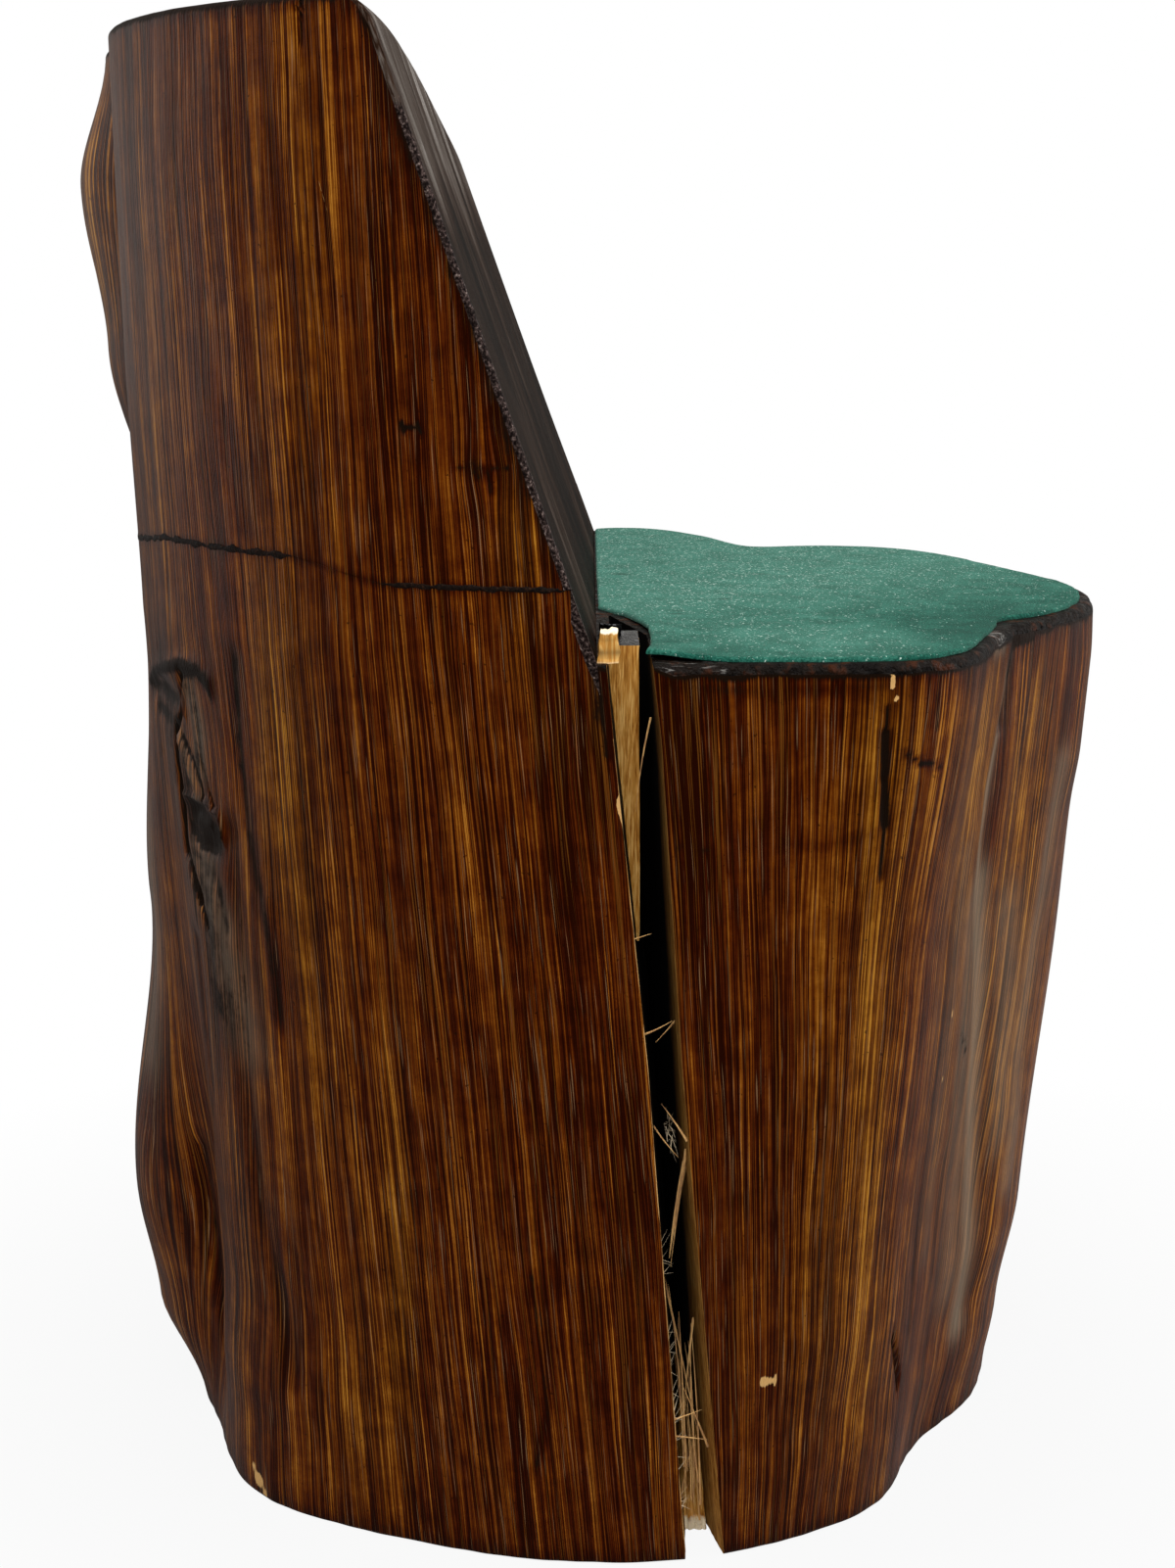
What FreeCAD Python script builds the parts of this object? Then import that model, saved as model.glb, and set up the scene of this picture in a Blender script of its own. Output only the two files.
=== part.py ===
# A log chair: a split and lacquered tree trunk with its back left standing, a sawn and
# glued joint above the seat, a cloth-covered seat and one deep drying crack.
#
# Millimetres. +Z is up, the sitter faces -Y, and the sitter's right is -X.
# The origin is on the floor at the pith of the log. Angles round the log are in degrees,
# from the sitter's right (-X) towards the front (-Y).

import FreeCAD, Part
import math
import os

from FreeCAD import Vector

# Heights
seat_height = 420.0
total_height = 689.0

# Mean radius of the log at the floor, at the seat and at the crest of the back
foot_radius = 209.0
seat_radius = 236.0
crest_radius = 240.0

# Rounded edges: the seat's rim, the crest of the back, and the crest's front edge
rim_round = 5.0
crest_round = 8.0
crest_front_round = 18.0

# Sawn front face of the back: distance behind the pith at the seat and at the crest
face_foot_y = 8.0
face_crest_y = 102.0

# Glued joint between the stump and the back: height above the seat, and its step at the rear
joint_rise = 31.0
joint_step = 9.0

# Dark filler in the open stretches of that joint
filler_height = 2.6
filler_depth = 5.0

# Hidden dowels
dowel_count = 3
dowel_diameter = 22.0
dowel_length = 90.0
dowel_clearance = 0.2
dowel_end_clearance = 2.0
dowel_spacing = 105.0
dowel_y = 160.0

# Drying crack on the sitter's right. Its left lip: Y at foot, waist, neck and seat.
crack_lip_foot_y = -33.0
crack_lip_waist_y = -14.0
crack_lip_neck_y = 0.0
crack_ledge = 6.0
# Its width at the bark, at the same heights
crack_mouth_foot = 18.0
crack_mouth_waist = 15.0
crack_mouth_neck = 19.0
crack_mouth_seat = 17.0
# Its width at the knee, where it starts to close quickly, and the places of knee and tip
crack_knee_foot = 6.5
crack_knee_waist = 9.0
crack_knee_neck = 15.0
crack_knee_seat = 17.0
crack_knee_x = -150.0
crack_tip_x = -85.0
crack_tip_width = 1.0
crack_tip_set_back = 2.0

# Pale spike of raw wood that stands against the crack's left wall
sliver_length = 128.0
sliver_width = 12.0
sliver_end_width = 1.0
sliver_depth = 45.0
sliver_set_back = 36.0
sliver_drop = 1.5
sliver_clearance = 0.1

# Broken chunk on the ledge between the crack and the back
chunk_height = 13.0
chunk_depth = 15.0
chunk_width = 9.0
chunk_set_back = 5.0

# Curled film of lacquer behind the chunk
flake_thickness = 0.8
flake_width = 11.0
flake_length = 40.0
flake_curl = 9.0

# Splinters
splinter_radius = 0.7
splinter_point_radius = 0.15

# Seat cover
cover_thickness = 2.0
cover_margin = 6.0
cover_clearance = 0.5
cover_tear_reach = 22.0
cover_tear_drop = 11.0
cover_tear_margin = 1.0

# How far a cutting shape runs past what it cuts
overrun = 40.0

# Heights at which the log's swellings are given: shares of the seat height up to the seat,
# then shares of the back's height above it
stump_level_shares = (0.0, 0.12, 0.26, 0.64, 1.0)
back_level_shares = (0.45, 0.75, 1.0)

# Heights of the crack's foot, waist, neck and seat
crack_level_shares = (0.0, 0.58, 0.92, 1.0)

# The log's lobes and flutes: angle, spread, and the swelling at each height as a share of
# the mean radius there
LOBE_SHARES = (
    # foot hollow below the front flute
    (76, 22, (-0.057, -0.033, -0.01, 0.0, 0.0, 0.0, 0.0, 0.0)),
    # front flute, the deep groove that runs up to the notch in the seat's rim
    (57, 17, (-0.115, -0.104, -0.097, -0.08, -0.076, -0.076, -0.075, -0.075)),
    # near front lobe, between the crack and the flute
    (26, 12, (-0.02, 0.0, 0.023, 0.035, 0.046, 0.046, 0.046, 0.046)),
    # front nose
    (92, 16, (0.0, 0.0, 0.01, 0.026, 0.025, 0.025, 0.025, 0.025)),
    # far front lobe
    (138, 15, (0.04, 0.047, 0.055, 0.07, 0.093, 0.093, 0.092, 0.092)),
    # notch between the two far lobes
    (157, 7, (-0.04, -0.047, -0.055, -0.07, -0.093, -0.084, -0.04, -0.025)),
    # far lobe, beside the far end of the back's face
    (178, 12, (0.12, 0.13, 0.148, 0.2, 0.28, 0.15, 0.092, 0.033)),
    # far rear rib
    (-146, 13, (0.067, 0.075, 0.074, 0.062, 0.05, 0.042, 0.033, 0.025)),
    # burl high on the far rear of the back
    (-108, 12, (0.03, 0.038, 0.037, 0.018, 0.0, 0.145, 0.208, 0.142)),
    # groove between the burl and the near body
    (-92, 7, (0.0, 0.0, 0.0, 0.0, -0.01, -0.042, -0.067, -0.05)),
    # heel lobe low on the rear, undercut at the floor
    (-88, 13, (0.038, 0.123, 0.152, 0.044, -0.017, 0.0, 0.0, 0.0)),
    # dark groove beside the heel lobe
    (-69, 6, (-0.005, -0.042, -0.055, -0.022, -0.008, 0.0, 0.0, 0.0)),
    # near rear rib
    (-50, 16, (0.067, 0.052, 0.023, 0.0, -0.017, 0.0, 0.008, 0.0)),
)

# Front to back profile of the glued joint: Y as a share of the seat radius, rise as a share
# of the joint's step
JOINT_SHARES = ((0.415, 0.0), (0.58, 1.0), (0.87, 1.0), (1.01, 0.0))

# A quarter-round cut as three chords: height and inset as shares of its radius, with the
# first and last chord run on past the round
ROUND_SHARES = ((-1.5, -0.134), (-0.5, 0.134), (-0.134, 0.5), (0.134, 1.5))

# Splinters: where each starts and where its point is, as shares of the seat height, of the
# way in from the bark to the knee, and of the way across from the left wall to the right
SPLINTER_SHARES = (
    ((0.628, 0.06, 0.08), (0.645, 0.02, 0.8)),
    ((0.612, 0.3, 0.92), (0.6, 0.1, 0.3)),
    ((0.5, 0.25, 0.07), (0.472, 0.1, 0.7)),
    ((0.49, 0.1, 0.92), (0.52, 0.3, 0.35)),
    ((0.475, 0.2, 0.9), (0.33, 0.35, 0.25)),
    ((0.455, 0.4, 0.88), (0.37, 0.3, 0.2)),
    ((0.31, 0.45, 0.06), (0.12, 0.4, 0.8)),
    ((0.26, 0.5, 0.92), (0.14, 0.45, 0.3)),
    ((0.172, 0.05, 0.07), (0.186, 0.02, 0.75)),
    ((0.148, 0.1, 0.08), (0.15, 0.02, 0.85)),
    ((0.12, 0.3, 0.9), (0.2, 0.25, 0.3)),
    ((0.05, 0.4, 0.1), (0.13, 0.35, 0.65)),
)

# Outline of the broken chunk seen from the sitter's right: shares of its width and height
CHUNK_SHARES = ((0.0, 0.0), (1.0, 0.0), (0.93, 0.55), (0.7, 0.62), (0.55, 1.0), (0.12, 0.86))

# Side view of the curled film: shares of its length and of its curl
FLAKE_SHARES = ((0.0, 0.0), (0.5, 0.0), (0.8, 0.4), (1.0, 1.0))

# Angle between two points of an outline of the log
outline_step = 5

back_height = total_height - seat_height
joint_height = seat_height + joint_rise
reach = 2 * max(foot_radius, seat_radius, crest_radius)


def between(height, heights, values):
    """Straight-line value at a height, held at both ends."""
    if height <= heights[0]:
        return values[0]
    for low, high, first, last in zip(heights, heights[1:], values, values[1:]):
        if height <= high:
            return first + (last - first) * (height - low) / (high - low)
    return values[-1]


LEVELS = [share * seat_height for share in stump_level_shares]
LEVELS += [seat_height + share * back_height for share in back_level_shares]


def mean_radius(height):
    """The log's mean radius: straight tapers from foot to seat and from seat to crest."""
    return between(height, (0.0, seat_height, total_height), (foot_radius, seat_radius, crest_radius))


def bark_radius(angle, height):
    """The mean radius, swollen by each lobe as a bell curve round its angle.
    Between two levels the swelling eases from one share to the next."""
    place = between(height, LEVELS, range(len(LEVELS)))
    index = min(int(place), len(LEVELS) - 2)
    share = place - index
    eased = share * share * (3 - 2 * share)
    swelling = 0.0
    for centre, spread, shares in LOBE_SHARES:
        away = (angle - centre + 180) % 360 - 180
        amount = shares[index] + (shares[index + 1] - shares[index]) * eased
        swelling += amount * math.exp(-((away / spread) ** 2))
    return mean_radius(height) * (1 + swelling)


def bark_point(angle, height, inset, lift):
    """A point that far inside the bark, placed that much higher than the outline's own height."""
    radius = bark_radius(angle, height) - inset
    turn = math.radians(angle)
    return Vector(-radius * math.cos(turn), -radius * math.sin(turn), height + lift)


crack_heights = [share * seat_height for share in crack_level_shares]
crack_lip_seat_y = face_foot_y - crack_ledge


def crack_at(height):
    """The crack at a height: Y of its left lip, its width at the bark, its width at the knee."""
    lips = (crack_lip_foot_y, crack_lip_waist_y, crack_lip_neck_y, crack_lip_seat_y)
    mouths = (crack_mouth_foot, crack_mouth_waist, crack_mouth_neck, crack_mouth_seat)
    knees = (crack_knee_foot, crack_knee_waist, crack_knee_neck, crack_knee_seat)
    return [between(height, crack_heights, values) for values in (lips, mouths, knees)]


def start_angle(height):
    """The angle of the middle of the crack, where every outline of the log starts."""
    lip, mouth, _ = crack_at(height)
    return math.degrees(math.asin((mouth / 2 - lip) / mean_radius(height)))


def outline(height, inset=0.0, lift=0.0):
    """One closed outline of the log."""
    first = start_angle(height)
    angles = [first + outline_step * n for n in range(360 // outline_step)]
    curve = Part.BSplineCurve()
    curve.interpolate(Points=[bark_point(angle, height, inset, lift) for angle in angles], PeriodicFlag=True)
    return Part.Wire(curve.toShape())


def log_solid():
    """The whole log, lofted through outlines at the levels and half way between them."""
    halves = [(low + high) / 2 for low, high in zip(LEVELS, LEVELS[1:])]
    return Part.makeLoft([outline(height) for height in sorted(LEVELS + halves)], True, False)


def prism_along_x(points):
    """A profile in the YZ plane, given as (y, z) pairs, run across the whole log."""
    corners = [Vector(-reach, y, z) for y, z in points]
    return Part.Face(Part.makePolygon(corners + corners[:1])).extrude(Vector(2 * reach, 0, 0))


def prism_along_z(points, low, high):
    """A profile in the XY plane, given as (x, y) pairs, run from one height to another."""
    corners = [Vector(x, y, low) for x, y in points]
    return Part.Face(Part.makePolygon(corners + corners[:1])).extrude(Vector(0, 0, high - low))


def edge_ring(height, radius, front_y, rear_y):
    """What rounding the bark's top edge takes off: a slab without the rounded log inside it."""
    wires = [outline(height, inset * radius, lift * radius) for lift, inset in ROUND_SHARES]
    plug = Part.makeLoft(wires, True, True)
    low = height + ROUND_SHARES[0][0] * radius
    high = height + ROUND_SHARES[-1][0] * radius
    slab = prism_along_x([(front_y, low), (rear_y, low), (rear_y, high), (front_y, high)])
    return slab.cut(plug)


def face_y(height):
    """Y of the back's sawn front face at a height: a plane that leans back."""
    return between(height, (seat_height, total_height), (face_foot_y, face_crest_y))


def front_cutter():
    """What is sawn away above the seat and in front of the leaning face, with the crest's
    front edge rounded: an arc that touches both the face and the top."""
    lean = math.atan2(face_crest_y - face_foot_y, back_height)
    run = crest_front_round * math.tan((math.pi / 2 - lean) / 2)
    start = (face_crest_y - run * math.sin(lean), total_height - run * math.cos(lean))
    centre = (face_crest_y + run, total_height - crest_front_round)
    turn = math.pi * 3 / 4 - lean / 2
    middle = (centre[0] + crest_front_round * math.cos(turn), centre[1] + crest_front_round * math.sin(turn))
    end = (centre[0], total_height)
    above = total_height + overrun
    corners = [end, (end[0], above), (-reach, above), (-reach, seat_height), (face_foot_y, seat_height), start]
    points = [Vector(-reach, y, z) for y, z in corners]
    arc = Part.Arc(points[-1], Vector(-reach, *middle), points[0]).toShape()
    edges = [Part.LineSegment(a, b).toShape() for a, b in zip(points, points[1:])]
    return Part.Face(Part.Wire(edges + [arc])).extrude(Vector(2 * reach, 0, 0))


def joint_profile(lift=0.0):
    """The glued joint from front to rear as (y, z) pairs, moved up by lift."""
    steps = [(share * seat_radius, joint_height + rise * joint_step + lift) for share, rise in JOINT_SHARES]
    return [(-reach, joint_height + lift)] + steps + [(reach, joint_height + lift)]


def crack_outline(height):
    """The crack's outline at a height: left wall along X, tip, knee, and a right wall that
    runs on in a line from the knee through its lip."""
    lip, mouth, knee = crack_at(height)
    bark_x = -mean_radius(height)
    far_x = bark_x - overrun
    tip_y = lip - crack_tip_set_back
    knee_y = lip - knee
    slope = (lip - mouth - knee_y) / (bark_x - crack_knee_x)
    far_y = knee_y + slope * (far_x - crack_knee_x)
    tip = [(crack_tip_x, tip_y), (crack_tip_x, tip_y - crack_tip_width)]
    return [(far_x, lip)] + tip + [(crack_knee_x, knee_y), (far_x, far_y)]


def crack_wedge():
    """The whole crack as one solid, from below the floor to above the seat."""
    heights = [-overrun] + crack_heights + [seat_height + overrun]
    wires = []
    for height in heights:
        corners = [Vector(x, y, height) for x, y in crack_outline(height)]
        wires.append(Part.makePolygon(corners + corners[:1]))
    return Part.makeLoft(wires, True, True)


def crack_point(height_share, depth_share, across_share):
    """A point inside the crack, by shares of the seat height, of the way in from the bark to
    the knee, and of the way from the left wall to the right."""
    height = height_share * seat_height
    lip, mouth, knee = crack_at(height)
    bark_x = -mean_radius(height)
    width = mouth + (knee - mouth) * depth_share
    return Vector(bark_x + (crack_knee_x - bark_x) * depth_share, lip - width * across_share, height)


def dowels():
    """The dowels in a row across the joint, as (dowel, bore) pairs."""
    rear_height = joint_height + joint_step
    low = rear_height - dowel_length / 2
    pairs = []
    for number in range(dowel_count):
        x = (number - (dowel_count - 1) / 2) * dowel_spacing
        bore_radius = dowel_diameter / 2 + dowel_clearance
        bore_length = dowel_length + 2 * dowel_end_clearance
        dowel = Part.makeCylinder(dowel_diameter / 2, dowel_length, Vector(x, dowel_y, low))
        bore = Part.makeCylinder(bore_radius, bore_length, Vector(x, dowel_y, low - dowel_end_clearance))
        pairs.append((dowel, bore))
    return pairs


def filler(body, from_y, to_y, to_x):
    """Filler pressed into the joint from outside: a band along the joint, as deep as the
    filler goes in from the bark, between two distances behind the pith."""
    lower = joint_profile(-filler_height / 2)
    upper = joint_profile(filler_height / 2)
    band = prism_along_x(lower + upper[::-1])
    low = joint_height - filler_height - joint_step
    high = joint_height + filler_height + 2 * joint_step
    core = Part.makeLoft([outline(low, filler_depth), outline(high, filler_depth)], True, True)
    corners = [(-reach, from_y), (to_x, from_y), (to_x, to_y), (-reach, to_y)]
    return body.common(band).cut(core).common(prism_along_z(corners, low, high))


def seat_cover():
    """The cloth on the end grain, drawn in from the bark, with the corner by the crack torn off."""
    sheet = Part.Face(outline(seat_height, cover_margin)).extrude(Vector(0, 0, cover_thickness))
    tear = [
        (crack_tip_x + cover_tear_reach, reach),
        (crack_tip_x + cover_tear_reach, face_foot_y),
        (crack_tip_x, face_foot_y - cover_tear_drop),
        (crack_knee_x, crack_lip_seat_y - crack_knee_seat - cover_tear_margin),
        (-reach, crack_lip_seat_y - crack_mouth_seat - cover_tear_margin),
        (-reach, reach),
    ]
    rear_y = face_foot_y - cover_clearance
    behind = [(-reach, rear_y), (reach, rear_y), (reach, reach), (-reach, reach)]
    top = seat_height + overrun
    sheet = sheet.cut(prism_along_z(behind, seat_height - overrun, top))
    return sheet.cut(prism_along_z(tear, seat_height - overrun, top))


def crack_sliver():
    """A spike that tapers downward, flat against the crack's left wall."""
    wires = []
    top = seat_height - sliver_drop
    for height, width in ((top, sliver_width), (top - sliver_length, sliver_end_width)):
        lip = crack_at(height)[0] - sliver_clearance
        near_x = -mean_radius(height) + sliver_set_back
        far_x = near_x + sliver_depth * (width / sliver_width)
        left = lip - (crack_tip_set_back + sliver_clearance) * (far_x - near_x) / sliver_depth
        corners = [(near_x, lip - sliver_clearance), (far_x, left), (far_x, lip - width / 2), (near_x, lip - width)]
        points = [Vector(x, y, height) for x, y in corners]
        wires.append(Part.makePolygon(points + points[:1]))
    return Part.makeLoft(wires, True, True)


def lip_chunk():
    """The broken chunk: its outline stands on the ledge beside the face's foot."""
    near_x = chunk_set_back - seat_radius
    points = [
        Vector(near_x, face_foot_y - width * chunk_width, seat_height + rise * chunk_height)
        for width, rise in CHUNK_SHARES
    ]
    return Part.Face(Part.makePolygon(points + points[:1])).extrude(Vector(chunk_depth, 0, 0))


def lacquer_flake():
    """A thin strip that lies on the ledge and curls up towards the bark."""
    inner_x = crack_knee_x + flake_curl
    rear_y = face_foot_y - cover_clearance
    lower = [
        Vector(inner_x - along * flake_length, rear_y, seat_height + rise * flake_curl)
        for along, rise in FLAKE_SHARES
    ]
    upper = [point + Vector(0, 0, flake_thickness) for point in reversed(lower)]
    face = Part.Face(Part.makePolygon(lower + upper + lower[:1]))
    return face.extrude(Vector(0, -flake_width, 0))


def crack_splinters():
    """Thin cones, each from a place just off a wall of the crack to its point."""
    needles = []
    for root_shares, point_shares in SPLINTER_SHARES:
        root = crack_point(*root_shares)
        run = crack_point(*point_shares) - root
        needles.append(Part.makeCone(splinter_radius, splinter_point_radius, run.Length, root, run))
    return Part.makeCompound(needles)


def make_parts():
    """Every piece by its name, in the order in which the chair is made."""
    crest_ring = edge_ring(total_height, crest_round, -reach, reach)
    rim_ring = edge_ring(seat_height, rim_round, -reach, face_foot_y)
    log = log_solid().cut([front_cutter(), crest_ring, rim_ring])
    side = filler(log, face_y(joint_height) + filler_depth, JOINT_SHARES[0][0] * seat_radius, 0.0)
    rear = filler(log, JOINT_SHARES[1][0] * seat_radius, reach, dowel_spacing / 2)
    above = total_height + overrun
    upper_half = prism_along_x(joint_profile() + [(reach, above), (-reach, above)])
    fitted = [side, rear] + [bore for dowel, bore in dowels()]
    parts = {
        "stump": log.cut([upper_half, crack_wedge()] + fitted),
        "back_block": log.common(upper_half).cut(fitted),
        "seam_filler_side": side,
        "seam_filler_rear": rear,
        "seat_cover": seat_cover(),
        "crack_sliver": crack_sliver(),
        "lip_chunk": lip_chunk(),
        "lacquer_flake": lacquer_flake(),
        "crack_splinters": crack_splinters(),
    }
    for number, (dowel, bore) in enumerate(dowels(), 1):
        parts[f"back_dowel_{number}"] = dowel
    return parts


os.makedirs("parts", exist_ok=True)
for name, shape in make_parts().items():
    shape.exportStep(f"parts/{name}.step")
    print(name, "solids", len(shape.Solids), "volume", round(shape.Volume), "valid", shape.isValid())
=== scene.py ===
"""Looks of the log chair: a stained and varnished tree trunk with a leaning, sawn back, a felt
seat and a drying crack. Shapes are worked out in millimetres and put into the meshes in metres.
Angles go round the log in degrees, from the sitter's right (-X) towards the front (-Y)."""

import math

import bmesh
import bpy
import numpy as np
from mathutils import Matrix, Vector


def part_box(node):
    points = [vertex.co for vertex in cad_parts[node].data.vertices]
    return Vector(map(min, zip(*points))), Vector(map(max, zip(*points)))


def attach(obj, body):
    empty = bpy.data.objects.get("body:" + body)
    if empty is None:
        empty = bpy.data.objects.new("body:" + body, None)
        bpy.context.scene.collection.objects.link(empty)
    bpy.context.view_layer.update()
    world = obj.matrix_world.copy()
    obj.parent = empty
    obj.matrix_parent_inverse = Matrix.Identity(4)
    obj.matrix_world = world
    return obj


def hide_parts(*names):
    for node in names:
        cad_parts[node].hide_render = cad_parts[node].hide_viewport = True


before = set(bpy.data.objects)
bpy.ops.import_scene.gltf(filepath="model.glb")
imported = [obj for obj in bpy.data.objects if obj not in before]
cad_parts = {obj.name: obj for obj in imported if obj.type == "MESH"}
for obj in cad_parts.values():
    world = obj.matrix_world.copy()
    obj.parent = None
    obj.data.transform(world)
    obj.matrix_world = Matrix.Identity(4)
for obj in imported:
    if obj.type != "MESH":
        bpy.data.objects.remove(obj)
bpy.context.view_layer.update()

ROOT = "root"
MM = 0.001

# Sizes read from the frame
seat_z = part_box("seat_cover")[0][2] / MM
crest_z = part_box("back_block")[1][2] / MM
cover_top_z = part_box("seat_cover")[1][2] / MM
sliver_low, sliver_high = (np.array(corner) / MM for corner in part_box("crack_sliver"))
chunk_low, chunk_high = (np.array(corner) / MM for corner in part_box("lip_chunk"))
flake_low, flake_high = (np.array(corner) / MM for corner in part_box("lacquer_flake"))

# The log's form: radii, Y of the sawn face at seat and crest, the glued joint, and the lobes,
# each a middle angle, a spread and its swelling at every level
foot_radius, seat_radius, crest_radius = 209.0, 236.0, 240.0
face_foot_y, face_crest_y = 8.0, 102.0
joint_z, joint_step = seat_z + 31.0, 9.0
LEVELS = np.array([0, 0.12 * seat_z, 0.26 * seat_z, 0.64 * seat_z, seat_z,
                   seat_z + 0.45 * (crest_z - seat_z), seat_z + 0.75 * (crest_z - seat_z), crest_z])
LOBES = (
    (76, 22, (-0.057, -0.033, -0.01, 0.0, 0.0, 0.0, 0.0, 0.0)),
    (57, 17, (-0.115, -0.104, -0.097, -0.072, -0.054, -0.076, -0.075, -0.075)),
    (34, 11, (0.0, 0.0, 0.0, 0.022, 0.08, 0.0, 0.0, 0.0)),
    (26, 12, (-0.02, 0.0, 0.023, 0.035, 0.046, 0.046, 0.046, 0.046)),
    (92, 16, (0.0, 0.0, 0.01, 0.026, 0.025, 0.025, 0.025, 0.025)),
    (138, 15, (0.04, 0.047, 0.055, 0.07, 0.093, 0.093, 0.092, 0.092)),
    (157, 7, (-0.04, -0.047, -0.055, -0.07, -0.093, -0.084, -0.04, -0.025)),
    (178, 12, (0.12, 0.13, 0.148, 0.21, 0.32, 0.15, 0.092, 0.033)),
    (-146, 13, (0.067, 0.075, 0.074, 0.062, 0.05, 0.042, 0.033, 0.025)),
    (-108, 12, (0.03, 0.038, 0.037, 0.018, 0.0, 0.155, 0.205, 0.12)),
    (-92, 7, (0.0, 0.0, 0.0, 0.0, -0.01, -0.042, -0.067, -0.05)),
    (-88, 13, (0.038, 0.123, 0.152, 0.044, -0.017, 0.0, 0.0, 0.0)),
    (-69, 6, (-0.005, -0.042, -0.055, -0.022, -0.008, 0.0, 0.0, 0.0)),
    (-50, 16, (0.067, 0.052, 0.023, 0.0, -0.017, 0.0, 0.008, 0.0)),
)

# Where the near and the far arris of the sawn face are looked for, in degrees
NEAR_SEARCH, FAR_SEARCH = (-34, 4), (172, 215)

# The crack at foot, waist, neck and seat: Y of its left lip, width at the bark, width at the knee
CRACK_Z = np.array([0, 0.58 * seat_z, 0.92 * seat_z, seat_z])
CRACK_SIZES = ((-33.0, -14.0, 1.0, 4.2), (18.0, 15.0, 20.0, 19.2), (6.5, 9.0, 16.0, 19.2))
crack_knee_x, crack_tip_x = -150.0, -85.0

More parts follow.
